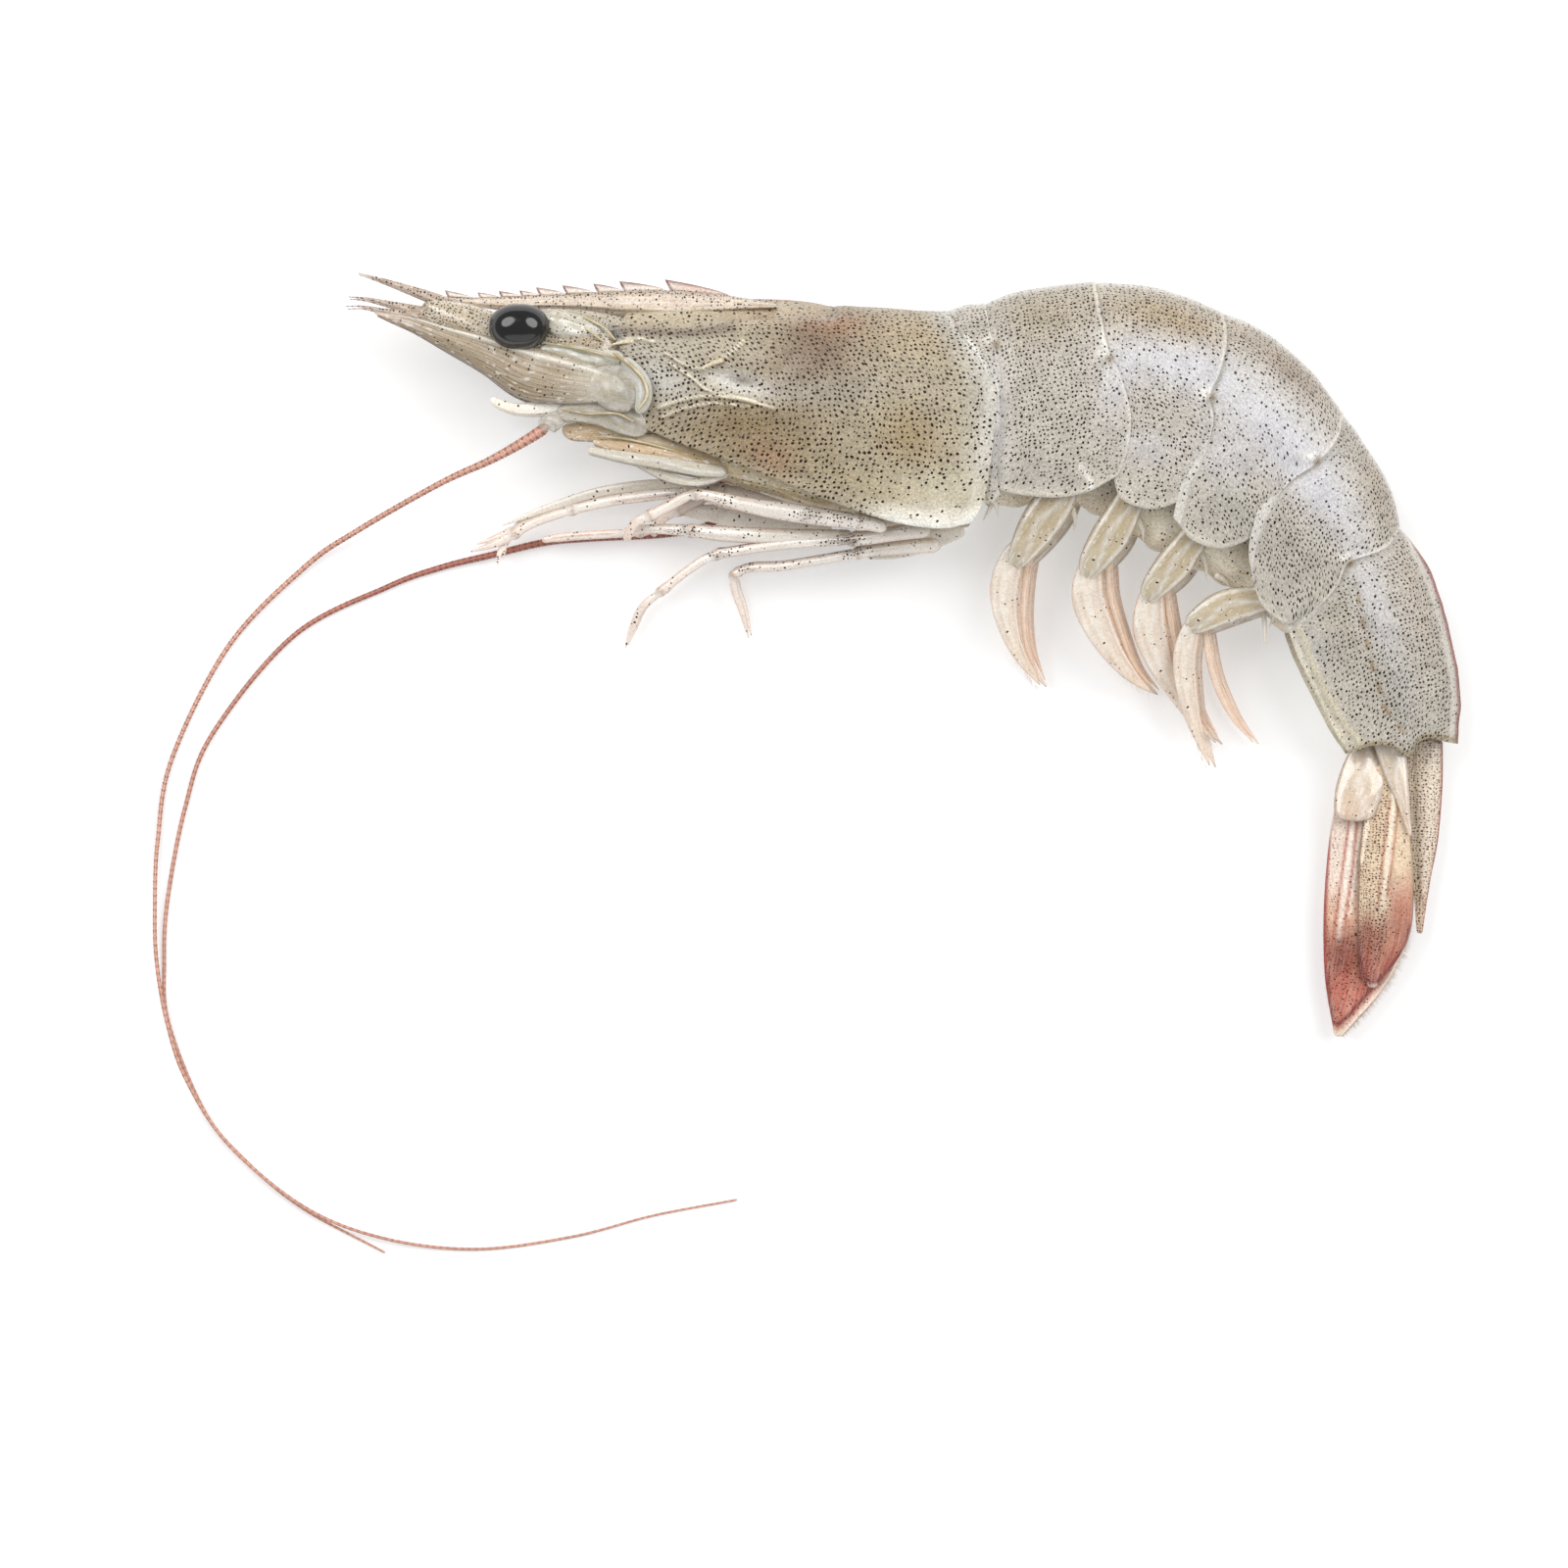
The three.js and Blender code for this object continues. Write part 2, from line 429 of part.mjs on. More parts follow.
const rings = RINGS.map((ring, i) => ({
  name: `abdomen_${i + 1}`,
  front: SEAMS[i],
  rear: SEAMS[i + 1],
  halfWidths: [SEAM_HALF_WIDTH[i], SEAM_HALF_WIDTH[i + 1]],
  axis: [SEAM_AXIS_HEIGHT[i], SEAM_AXIS_HEIGHT[i + 1]],
  steps: i === 0 ? 3 : 6,
  ...ring,
}));

// Carapace with its toothed rostrum and its spines

function rostrumBlade() {
  const top = curveThrough(ROSTRUM_TOP);
  const outline = top.getSpacedPoints(40);
  const heightAt = (x) => {
    const next = outline.findIndex((point) => point.x >= x);
    const [a, b] = [outline[Math.max(next, 1) - 1], outline[Math.max(next, 1)]];
    return THREE.MathUtils.mapLinear(x, a.x, b.x, a.y, b.y);
  };
  const shape = new THREE.Shape();
  shape.moveTo(ROSTRUM_TOP[0][0], ROSTRUM_TOP[0][1]);
  for (let i = 0; i < TOOTH_COUNT; i += 1) {
    const tip = toothTip(i);
    shape.lineTo(tip + TOOTH_FACE, heightAt(tip));
    shape.lineTo(tip - TOOTH_FACE, heightAt(tip) + TOOTH_HEIGHT);
    shape.lineTo(tip + TOOTH_LENGTH, heightAt(tip + TOOTH_LENGTH));
  }
  const [rootX, rootY] = ROSTRUM_TOP[ROSTRUM_TOP.length - 1];
  shape.lineTo(rootX, rootY);
  shape.lineTo(rootX, rootY - BLADE_DEPTH);
  shape.lineTo(toothTip(0), heightAt(toothTip(0)) - BLADE_DEPTH / 2);
  const blade = new THREE.ExtrudeGeometry(shape, { depth: BLADE_THICKNESS, bevelEnabled: false });
  return blade.translate(0, 0, MID - BLADE_THICKNESS / 2);
}

function carapaceSpines(grow = 0) {
  return SPINES.flatMap(({ path, out }) => [1, -1].map((side) => {
    const heights = out.map((distance) => MID + side * distance);
    return limb(withHeights(path, heights), { steps: 1, sides: 5, grow });
  }));
}

function carapaceBody() {
  const core = limb(withHeights(ROSTRUM_CORE, [MID, MID]), { steps: 8, sides: 8, flat: 0.55 });
  return fused([shellBody(CARAPACE), core, rostrumBlade(), ...carapaceSpines()]);
}

addPiece('carapace', carapaceBody(), 'carapace');
rings.forEach((ring) => addPiece(ring.name, shellBody(ring), 'ring'));

// Head and thorax, which carry the limbs
const grownCarapace = shellBody(CARAPACE, GAP);
const headRows = withHeights(HEAD, [MID, MID]);
const headOptions = { steps: 4, sides: 12, flat: 0.85 };
const coreRows = withHeights(ROSTRUM_CORE, [MID, MID]);
const grownCore = limb(coreRows, { steps: 5, sides: 6, flat: 0.7, grow: GAP });
const headNeighbours = [grownCarapace, grownCore, ...carapaceSpines(GAP)];
addPiece('head', carved(limb(headRows, headOptions), headNeighbours), 'head');
const grownHead = limb(headRows, { ...headOptions, grow: GAP });

const thoraxRows = withHeights(THORAX, [MID, 7.5]);
const thoraxOptions = { steps: 9, sides: 10, flat: 1.1 };
addPiece('thorax', carved(limb(thoraxRows, thoraxOptions), [grownCarapace, grownHead]), 'limb');
const grownThorax = limb(thoraxRows, { ...thoraxOptions, grow: GAP });

const sides = [['left', 1], ['right', -1]];

/** Heights above the surface from distances out from the plane of symmetry. */
const heightsOf = (distances, sign) => distances.map((out) => MID + sign * out);

function eyeBody(sign, grow = 0) {
  const radii = EYE.radii.map((radius) => radius + grow);
  const ball = new THREE.SphereGeometry(1, 14, 9).scale(...radii);
  return ball.translate(EYE.centre[0], EYE.centre[1], MID + sign * EYE.offset);
}

for (const [side, sign] of sides) {
  addPiece(`eye_${side}`, eyeBody(sign), 'eye');
  const grownEye = eyeBody(sign, GAP);
  const stalkRows = EYESTALK.map(([x, y, halfWidth, out]) => [x, y, halfWidth, MID + sign * out]);
  const stalkOptions = { steps: 5, sides: 10, flat: 0.75 };
  const stalk = carved(limb(stalkRows, stalkOptions), [grownEye, grownHead, grownCarapace, grownCore]);
  addPiece(`eyestalk_${side}`, stalk, 'head');
  const grownStalk = limb(stalkRows, { ...stalkOptions, grow: GAP });

  const antennuleRows = withHeights(ANTENNULE, heightsOf(OUT.antennule, sign));
  const antennuleOptions = { steps: 7, sides: 8, flat: 0.6 };
  const flagella = FLAGELLA.map((rows, i) => {
    const shift = [0, sign < 0 ? -FLAGELLUM_DROP : 0];
    return limb(withHeights(rows, heightsOf(OUT.flagella[i], sign), shift), { steps: 4, sides: 5 });
  });
  const antennule = fused([limb(antennuleRows, antennuleOptions), ...flagella]);
  addPiece(`antennule_${side}`, carved(antennule, [grownHead, grownEye, grownStalk, grownCore]), 'head');

  const baseRows = sign > 0
    ? withHeights(ANTENNA_BASE_LEFT, heightsOf(OUT.antennaBaseLeft, sign))
    : withHeights(ANTENNA_BASE_RIGHT, heightsOf(OUT.antennaBaseRight, sign));
  const baseOptions = { steps: 8, sides: 10, flat: 0.7 };
  const grownAntennule = limb(antennuleRows, { ...antennuleOptions, grow: GAP });
  const baseNeighbours = [grownHead, grownCarapace, grownThorax, grownAntennule];
  const antennaBase = carved(limb(baseRows, baseOptions), baseNeighbours);
  addPiece(`antenna_base_${side}`, antennaBase, 'head');

  const grownBase = limb(baseRows, { ...baseOptions, grow: GAP });
  const scale = limb(withHeights(SCALE, heightsOf(OUT.scale, sign)), { steps: 9, sides: 8, depth: 0.4 });
  const scaleNeighbours = [grownBase, grownHead, grownStalk, grownAntennule, grownEye];
  addPiece(`antenna_scale_${side}`, carved(scale, scaleNeighbours), 'head');

  const mouthHeights = heightsOf(OUT.mouth, sign);
  const maxilliped = fused([
    limb(withHeights(MAXILLIPED, mouthHeights), { steps: 6, sides: 6 }),
    limb(withHeights(MAXILLIPED_BLADE, mouthHeights), { steps: 6, sides: 6, flat: 0.5 }),
  ]);
  const mouthNeighbours = [grownThorax, grownCarapace, grownHead, grownBase];
  addPiece(`maxilliped_${side}`, carved(maxilliped, mouthNeighbours), 'limb');
}

// Walking legs, each carved by the thorax and by the legs already placed
const placedLegs = [];
for (const [side] of sides) {
  LEGS.forEach((leg, i) => {
    const shift = side === 'left' ? [0, 0] : leg.shift;
    const rows = withHeights(leg.path, leg[side], shift);
    const options = { steps: 12, sides: 6, flat: 0.8 };
    const bodies = [limb(rows, options)];
    if (i === 0) {
      const fingerRows = withHeights(PINCER_FINGER, [rows[5][3], rows[7][3]], shift);
      bodies.push(limb(fingerRows, { steps: 4, sides: 6 }));
    }
    const legNeighbours = [grownThorax, grownCarapace, ...placedLegs];
    addPiece(`leg_${i + 1}_${side}`, carved(fused(bodies), legNeighbours), 'limb');
    placedLegs.push(limb(rows, { ...options, grow: GAP }));
  });
}

// Swimmerets: a broad base under its ring's flap, with an outer and an inner blade
for (const [side, sign] of sides) {
  SWIMMERETS.forEach((swimmeret, i) => {
    const [start, end] = swimmeret[side];
    const joint = THREE.MathUtils.lerp(start, end, SWIMMERET_JOINT);
    const shift = sign > 0 ? [0, 0] : SWIMMERET_SHIFT;
    const blades = [
      limb(withHeights(swimmeret.base, [start, joint], shift), { steps: 4, sides: 8, flat: 0.6 }),
      limb(withHeights(swimmeret.outer, [joint, end], shift), { steps: 7, sides: 6, flat: 0.4 }),
      limb(withHeights(swimmeret.inner, [joint, end], shift), { steps: 5, sides: 4, flat: 0.6 }),
    ];
    const near = [swimmeret.ring - 1, swimmeret.ring - 2].map((index) => shellBody(rings[index], GAP));
    addPiece(`swimmeret_${i + 1}_${side}`, carved(fused(blades), near), 'limb');
  });
}

// Tail fan: the telson along the back, and on each side a short base that carries two broad blades
const telsonRows = withHeights(TELSON, [TAIL_AXIS, TAIL_TIP_AXIS]);
const telsonOptions = { steps: 7, sides: 8, flat: 0.7 };
const grownLastRing = shellBody(rings[5], GAP);
addPiece('telson', carved(limb(telsonRows, telsonOptions), [grownLastRing]), 'tail');
const grownTelson = limb(telsonRows, { ...telsonOptions, grow: GAP });
for (const [side, sign] of sides) {
  const shift = sign > 0 ? [0, 0] : TAIL_SHIFT;
  const heights = (out, outAtTip) => [TAIL_AXIS + sign * out, TAIL_TIP_AXIS + sign * outAtTip];
  const baseRows = withHeights(TAIL_BASE, heights(1.3, 1.9), shift);
  const baseOptions = { steps: 4, sides: 8, depth: 0.9 };
  addPiece(`tail_base_${side}`, carved(limb(baseRows, baseOptions), [grownLastRing]), 'tail');
  const grownBase = limb(baseRows, { ...baseOptions, grow: GAP });
  const outer = limb(withHeights(TAIL_OUTER, heights(0.7, 0.6), shift), { steps: 11, sides: 8, depth: 0.3 });
  addPiece(`tail_outer_${side}`, carved(outer, [grownBase, grownTelson]), 'tail');
  const inner = limb(withHeights(TAIL_INNER, heights(1.9, 1.5), shift), { steps: 10, sides: 8, depth: 0.35 });
  addPiece(`tail_inner_${side}`, carved(inner, [grownBase, grownTelson, grownLastRing]), 'tail');
}

// Long antennae, which run down to the surface and along it
const antennaOptions = { steps: 52, sides: 6, flat: 1 };
addPiece('antenna_left', limb(ANTENNA_LEFT, antennaOptions), 'antenna');
addPiece('antenna_right', limb(ANTENNA_RIGHT, antennaOptions), 'antenna');

// The origin is under the middle of the whole part, on the surface it lies on
const extent = new THREE.Box3().setFromObject(shrimp);
const middle = extent.getCenter(new THREE.Vector3());
shrimp.position.set(-middle.x, -middle.y, -extent.min.z);

export default shrimp;
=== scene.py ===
# %% [markdown]
# # A raw whole shrimp
# The shrimp lies on its right side on a pale table, and the camera looks straight down at its left
# flank. Its solids come packed as plain bodies that carry the size, the weight and the collision.
# This file dresses them. Each piece is a surface worked out with numpy from a few measured lines, and
# each finish is made of shader nodes.

import bpy
import numpy as np
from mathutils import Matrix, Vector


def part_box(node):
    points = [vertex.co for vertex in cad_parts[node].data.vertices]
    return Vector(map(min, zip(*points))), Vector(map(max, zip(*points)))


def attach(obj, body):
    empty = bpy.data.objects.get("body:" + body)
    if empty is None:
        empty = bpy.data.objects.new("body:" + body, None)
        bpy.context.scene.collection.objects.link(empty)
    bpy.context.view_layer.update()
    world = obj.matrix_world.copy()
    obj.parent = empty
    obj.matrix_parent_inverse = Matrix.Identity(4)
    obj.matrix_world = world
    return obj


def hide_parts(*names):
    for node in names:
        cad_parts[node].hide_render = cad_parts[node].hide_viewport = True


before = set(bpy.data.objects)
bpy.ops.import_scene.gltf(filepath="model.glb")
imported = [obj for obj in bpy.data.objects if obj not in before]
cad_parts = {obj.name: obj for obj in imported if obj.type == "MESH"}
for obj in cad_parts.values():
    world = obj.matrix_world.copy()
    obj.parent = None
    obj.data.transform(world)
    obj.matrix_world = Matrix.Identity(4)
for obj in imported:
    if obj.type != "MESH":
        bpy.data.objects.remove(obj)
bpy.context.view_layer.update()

# %% [markdown]
# ## Place and units
# The measured lines below are in millimetres, in the side view: x runs from head to tail and y from
# belly to back, both counted from the top of the second tail ring. Heights above the table are z.
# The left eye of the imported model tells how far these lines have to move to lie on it.

# %% Place of the drawing
MM = 0.001
EYE_CENTRE = (-60.1, 7.4)
MID = 7.6

low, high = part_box("eye_left")
SHIFT = np.array([(low.x + high.x) / 2 / MM - EYE_CENTRE[0], (low.y + high.y) / 2 / MM - EYE_CENTRE[1], 0])
print("the lines move by", SHIFT.round(2), "mm")

# %% [markdown]
# ## Curves
# All outlines are smooth curves through a few rows of numbers. A Catmull-Rom curve passes each row,
# and its slope there is half the difference of the rows on both sides, so one function draws seams,
# limbs and antennae, and also carries their widths along.

# %% Curves through rows of numbers
def curve(rows, share):
    """Rows read smoothly: each span is the cubic through its two rows with their neighbours' slopes."""
    rows = np.asarray(rows, float)
    padded = np.vstack([2 * rows[0] - rows[1], rows, 2 * rows[-1] - rows[-2]])
    place = np.clip(share, 0, 1) * (len(rows) - 1)
    span = np.minimum(place.astype(int), len(rows) - 2)
    w = (place - span)[..., None]
    before, start, end, after = (padded[span + k] for k in range(4))
    slope_start, slope_end = (end - before) / 2, (after - start) / 2
    return ((2 * w**3 - 3 * w**2 + 1) * start + (w**3 - 2 * w**2 + w) * slope_start
            + (3 * w**2 - 2 * w**3) * end + (w**3 - w**2) * slope_end)


def share_by_length(rows, length_share):
    """Turns shares of a curve's length into shares of its rows."""
    fine = np.linspace(0, 1, 201)
    steps = np.linalg.norm(np.diff(curve(rows, fine), axis=0), axis=1)
    length = np.append(0, np.cumsum(steps))
    return np.interp(np.asarray(length_share) * length[-1], length, fine)


def along(rows, length_share):
    """A curve read by shares of its length."""
    return curve(rows, share_by_length(rows, length_share))


def ramp(value, start, end):
    """0 before start, 1 after end, and an S between them."""
    share = np.clip((value - start) / (end - start), 0, 1)
    return share * share * (3 - 2 * share)


def bell(value, centre, width):
    """1 at a centre and a bell curve beside it."""
    return np.exp(-(((value - centre) / width) ** 2))


def between(numbers, share):
    """A value read between evenly spaced numbers."""
    return np.interp(share, np.linspace(0, 1, len(numbers)), numbers)


print("a curve through 3 rows at its middle:", curve([[0, 0], [1, 2], [2, 0]], np.array(0.5)))

# %% [markdown]
# ## Marks on a surface
# Ridges, grooves, hollows and colour patches are all told by how near a point lies to a line or to a
# spot in the side view. A bell curve of that distance gives a soft edge, so the same two functions
# shape the relief and paint the colours. Colours are laid over each other in layers, each by its share.

# %% Lines and spots in the side view
def near(xy, line, width):
    """1 on a smooth line and a bell curve of the distance beside it."""
    points = along(line, np.linspace(0, 1, 6 * len(line)))
    start, span = points[:-1], np.diff(points, axis=0)
    offset = xy[..., None, :] - start
    share = np.clip((offset * span).sum(-1) / (span**2).sum(-1), 0, 1)
    gap = np.linalg.norm(offset - share[..., None] * span, axis=-1).min(-1)
    return bell(gap, 0, width)


def spot(xy, x, y, length, width, turn=0):
    """1 at a centre and a bell curve over an oval turned by some degrees."""
    a = np.radians(turn)
    dx, dy = xy[..., 0] - x, xy[..., 1] - y
    across = dy * np.cos(a) - dx * np.sin(a)
    lengthwise = dx * np.cos(a) + dy * np.sin(a)
    return np.exp(-((lengthwise / length) ** 2) - (across / width) ** 2)


def colour(code):
    """A colour written as on screen, in the linear numbers that shaders use."""
    value = np.array([int(code[i:i + 2], 16) for i in (1, 3, 5)]) / 255
    return np.where(value <= 0.04045, value / 12.92, ((value + 0.055) / 1.055) ** 2.4)


def covered(tint, *layers):
    """Colours with each layer's colour laid over them by its share."""
    for share, code in layers:
        weight = np.clip(np.broadcast_to(share, tint.shape[:-1]), 0, 1)[..., None]
        tint = tint * (1 - weight) + colour(code) * weight
    return tint


def painted(shape, ground, *layers):
    """A colour at each point: the ground colour, and over it each layer's colour by its share."""
    return covered(np.broadcast_to(colour(ground), (*shape, 3)), *layers)


def patches(xy, rows):
    """Layers of oval patches: each row is an oval in the side view, its colour and its share."""
    return [(share * spot(xy, *oval), code) for *oval, code, share in rows]


def raised(xy, rows):
    """Ridges along lines: each row is a line, its width and its height."""
    return sum(near(xy, line, width) * height for line, width, height in rows)


def on_any(xy, lines, width):
    """1 on any of some lines of one width."""
    return np.clip(sum(near(xy, line, width) for line in lines), 0, 1)


print("the pale rim colour in linear numbers:", colour("#e6e2db").round(3))

# %% [markdown]
# ## From a grid of points to a mesh
# A grid has one row of points for each step along a piece and one column for each step round it. The
# faces are the squares between neighbours. Their order is turned round if the enclosed volume comes
# out negative, so that every face points outwards. Each point also keeps a colour and a share of
# specks, and each face corner keeps its place on the surface in millimetres, for patterns that
# follow it.

# %% Grid to mesh
def surface_normals(grid, wrap=True):
    """Directions square to the grid: the cross product of its two slopes."""
    down = np.gradient(grid, axis=0)
    if wrap:
        across = np.roll(grid, -1, 1) - np.roll(grid, 1, 1)
    else:
        across = np.gradient(grid, axis=1)
    normal = np.cross(down, across)
    return normal / np.maximum(np.linalg.norm(normal, axis=-1, keepdims=True), 1e-9)


def grid_faces(rows, columns, wrap):
    """Squares between neighbours of a grid, as corner numbers."""
    last = columns if wrap else columns - 1
    i, j = np.meshgrid(np.arange(rows - 1), np.arange(last), indexing="ij")
    beside = (j + 1) % columns
    squares = [i * columns + j, i * columns + beside, (i + 1) * columns + beside, (i + 1) * columns + j]
    return np.stack(squares, -1).reshape(-1, 4)


def enclosed_volume(points, faces):
    """Sum of the wedges between the origin and each triangle of the faces."""
    total = 0.0
    for face in faces:
        corners = points[face]
        for k in range(1, corners.shape[1] - 1):
            wedge = np.cross(corners[:, k], corners[:, k + 1])
            total += (corners[:, 0] * wedge).sum() / 6
    return total


def put_object(name, data):
    """A new object with its data, linked into the scene."""
    made = bpy.data.objects.new(name, data)
    bpy.context.scene.collection.objects.link(made)
    return made


def put_mesh(name, points, face_sets, places, fields):
    """Makes a mesh object from points in mm, groups of faces, corner places in mm and point fields."""
    if enclosed_volume(points, face_sets) < 0:
        face_sets = [faces[:, ::-1] for faces in face_sets]
        places = [place[:, ::-1] for place in places]
    mesh = bpy.data.meshes.new(name)
    listed = [face for faces in face_sets for face in faces.tolist()]
    mesh.from_pydata(((points + SHIFT) * MM).tolist(), [], listed)
    uv = mesh.uv_layers.new(name="surface_mm")
    flat = np.concatenate([place.reshape(-1, 2) for place in places])
    uv.data.foreach_set("uv", flat.astype(np.float32).ravel())
    for field, values in fields.items():
        kind = "FLOAT_COLOR" if values.shape[-1] == 4 else "FLOAT"
        attribute = mesh.attributes.new(field, kind, "POINT")
        slot = "color" if kind == "FLOAT_COLOR" else "value"
        attribute.data.foreach_set(slot, values.astype(np.float32).ravel())
    mesh.shade_smooth()
    return put_object(name, mesh)


def finish_piece(piece, material, node=None):
    """Gives a piece its finish, lets it ride on the body and hides the solid that it stands for."""
    piece.data.materials.append(material)
    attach(piece, "root")
    if node:
        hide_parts(node)
    return piece


def with_alpha(tint):
    """Adds a fourth number, 1 for solid, to colours that don't have it yet."""
    return tint if tint.shape[-1] == 4 else np.concatenate([tint, np.ones((*tint.shape[:-1], 1))], -1)


print("a 3 by 4 grid closed round has", len(grid_faces(3, 4, True)), "squares")

# %% [markdown]
# ## Shader building blocks
# The shell of a raw shrimp is a thin, wet, milky window over the meat. Its colour comes from soft
# patches, from thousands of dark pigment specks and from short pale streaks, which stand partly for
# pale flecks of the shell and partly for painted glints on its wet surface. The specks and the long
# fibres of the limbs are used by several finishes, so each is a node group that puts out one mask.

# %% Helpers for shader nodes
def add(tree, kind, inputs=None, **settings):
    """A node with its settings, and with its sockets joined or set to a number."""
    made = tree.nodes.new(kind)
    for key, value in settings.items():
        setattr(made, key, value)
    join_all(tree, made, inputs or {})
    return made


def join(tree, socket, value):
    """A link into a socket, or its number."""
    if isinstance(value, bpy.types.NodeSocket):
        tree.links.new(value, socket)
    else:
        socket.default_value = value


def join_all(tree, node, inputs):
    """Links into the named sockets of a node, or their numbers."""
    for key, value in inputs.items():
        join(tree, node.inputs[key], value)


def calc(tree, way, first, second=0.0, clamp=False):
    """One step of arithmetic on two sockets or numbers."""
    return add(tree, "ShaderNodeMath", {0: first, 1: second}, operation=way, use_clamp=clamp).outputs[0]


def remap(tree, value, low_in, high_in, low_out=0.0, high_out=1.0):
    """A value moved smoothly from one range to another."""
    sockets = {0: value, 1: low_in, 2: high_in, 3: low_out, 4: high_out}
    return add(tree, "ShaderNodeMapRange", sockets, interpolation_type="SMOOTHSTEP").outputs[0]


def blend(tree, share, first, second, way="MIX"):
    """Two colours mixed by a share."""
    sockets = {0: share, 6: first, 7: second}
    return add(tree, "ShaderNodeMix", sockets, data_type="RGBA", blend_type=way).outputs[2]


def noise(tree, place, scale, detail=2.0):
    """Soft clouds of values from 0 to 1."""
    return add(tree, "ShaderNodeTexNoise", {"Vector": place, "Scale": scale, "Detail": detail}).outputs[0]


def scaled(tree, place, factors):
    """A place stretched by three factors, given as numbers or by a socket."""
    return add(tree, "ShaderNodeVectorMath", {0: place, 1: factors}, operation="MULTIPLY").outputs[0]


def new_group(name, inputs, output):
    """An empty node group with named number or vector inputs and one number output."""
    group = bpy.data.node_groups.new(name, "ShaderNodeTree")
    for label, kind, value in inputs:
        socket = group.interface.new_socket(name=label, in_out="INPUT", socket_type=kind)
        if value is not None:
            socket.default_value = value
    group.interface.new_socket(name=output, in_out="OUTPUT", socket_type="NodeSocketFloat")
    return group, add(group, "NodeGroupInput").outputs, add(group, "NodeGroupOutput").inputs


def place_group(tree, group, inputs):
    """A node that stands for a group, with its inputs joined or set."""
    return add(tree, "ShaderNodeGroup", inputs, node_tree=group).outputs[0]


def new_finish(name):
    """A new material with nodes: itself, its tree and its shader."""
    material = bpy.data.materials.new(name)
    material.use_nodes = True
    return material, material.node_tree, material.node_tree.nodes["Principled BSDF"]


print("shader helpers are ready")

# %% Node groups for specks and fibres
NUMBER, VECTOR = "NodeSocketFloat", "NodeSocketVector"
SPECK_DRIFT = 0.9
SPECK_DISORDER = 0.6
SPECK_CORE = 0.78
FIBRE_ALONG = 0.22


def speck_group():
    """Round dots, or dashes if stretched: one in each cell, turned and sized by its cell's own numbers."""
    sockets = [("Place", VECTOR, None), ("Per mm", NUMBER, 1.3), ("Size", NUMBER, 0.2),
               ("Stretch", NUMBER, 1.0), ("Share", NUMBER, 1.0)]
    group, given, result = new_group("pigment_specks", sockets, "Mask")
    wobble = add(group, "ShaderNodeTexNoise", {"Vector": given["Place"], "Scale": 0.35, "Detail": 1.0})
    sockets = {0: wobble.outputs["Color"], 1: (SPECK_DRIFT, SPECK_DRIFT, 0), 2: given["Place"]}
    shifted = add(group, "ShaderNodeVectorMath", sockets, operation="MULTIPLY_ADD")
    sockets = {0: shifted.outputs[0], "Scale": given["Per mm"]}
    place = add(group, "ShaderNodeVectorMath", sockets, operation="SCALE")
    sockets = {"Vector": place.outputs[0], "Scale": 1.0, "Randomness": SPECK_DISORDER}
    cells = add(group, "ShaderNodeTexVoronoi", sockets, voronoi_dimensions="2D")
    offset = add(group, "ShaderNodeVectorMath", {0: place.outputs[0], 1: cells.outputs["Position"]},
                 operation="SUBTRACT")
    luck = add(group, "ShaderNodeSeparateColor", {0: cells.outputs["Color"]})
    flow = calc(group, "MULTIPLY", wobble.outputs[0], 9.0)
    angle = calc(group, "ADD", calc(group, "MULTIPLY", luck.outputs[0], 1.6), flow)
    turned = add(group, "ShaderNodeVectorRotate", {"Vector": offset.outputs[0], "Angle": angle},
                 rotation_type="Z_AXIS")
    parts = add(group, "ShaderNodeSeparateXYZ", {0: turned.outputs[0]})
    narrow = calc(group, "MULTIPLY", parts.outputs[1], given["Stretch"])
    squares = [calc(group, "MULTIPLY", part, part) for part in (parts.outputs[0], narrow)]
    gap = calc(group, "SQRT", calc(group, "ADD", *squares))
    spread = calc(group, "ADD", calc(group, "MULTIPLY", luck.outputs[1], 0.6), 0.65)
    reach = calc(group, "MULTIPLY", given["Size"], spread)
    inner = calc(group, "MULTIPLY", reach, SPECK_CORE)
    mask = remap(group, gap, inner, calc(group, "ADD", reach, 0.001), 1.0, 0.0)
    shown = calc(group, "LESS_THAN", luck.outputs[2], given["Share"])
    join(group, result["Mask"], calc(group, "MULTIPLY", mask, shown))
    return group


def fibre_group():
    """Long thin streaks: noise read with the length squeezed and the width drawn out."""
    group, given, result = new_group("long_fibres", [("Place", VECTOR, None), ("Across", NUMBER, 4.0)],
                                     "Mask")
    spread = add(group, "ShaderNodeCombineXYZ", {0: FIBRE_ALONG, 1: given["Across"], 2: 1.0})
    place = scaled(group, given["Place"], spread.outputs[0])
    join(group, result["Mask"], remap(group, noise(group, place, 1.0, 3.0), 0.42, 0.68))
    return group


specks = speck_group()
fibres = fibre_group()
print("node groups:", specks.name, fibres.name)

# %% [markdown]
# ## The wet finishes
# Each point of a piece carries its own soft colour, worked out with the patches of the animal. The
# shader darkens it where a speck lies, lets light wander a little way under the surface, and covers
# it with a thin clear coat for the wet look. Shell, blades, limbs and meat differ only in numbers.

# %% Wet finish with specks, fibres, pale streaks and painted glints
FINER = 1.9
POWDER_SHARE = 0.4
FLECK_GLINT_SIZE, FLECK_GLINT_STRETCH = 0.34, 4.0
BUMP_HEIGHT = 0.0004
SPECK_PATCHES, MOTTLES = 300.0, 420.0
DEPTH_BY_COLOUR = (1.0, 0.75, 0.55)


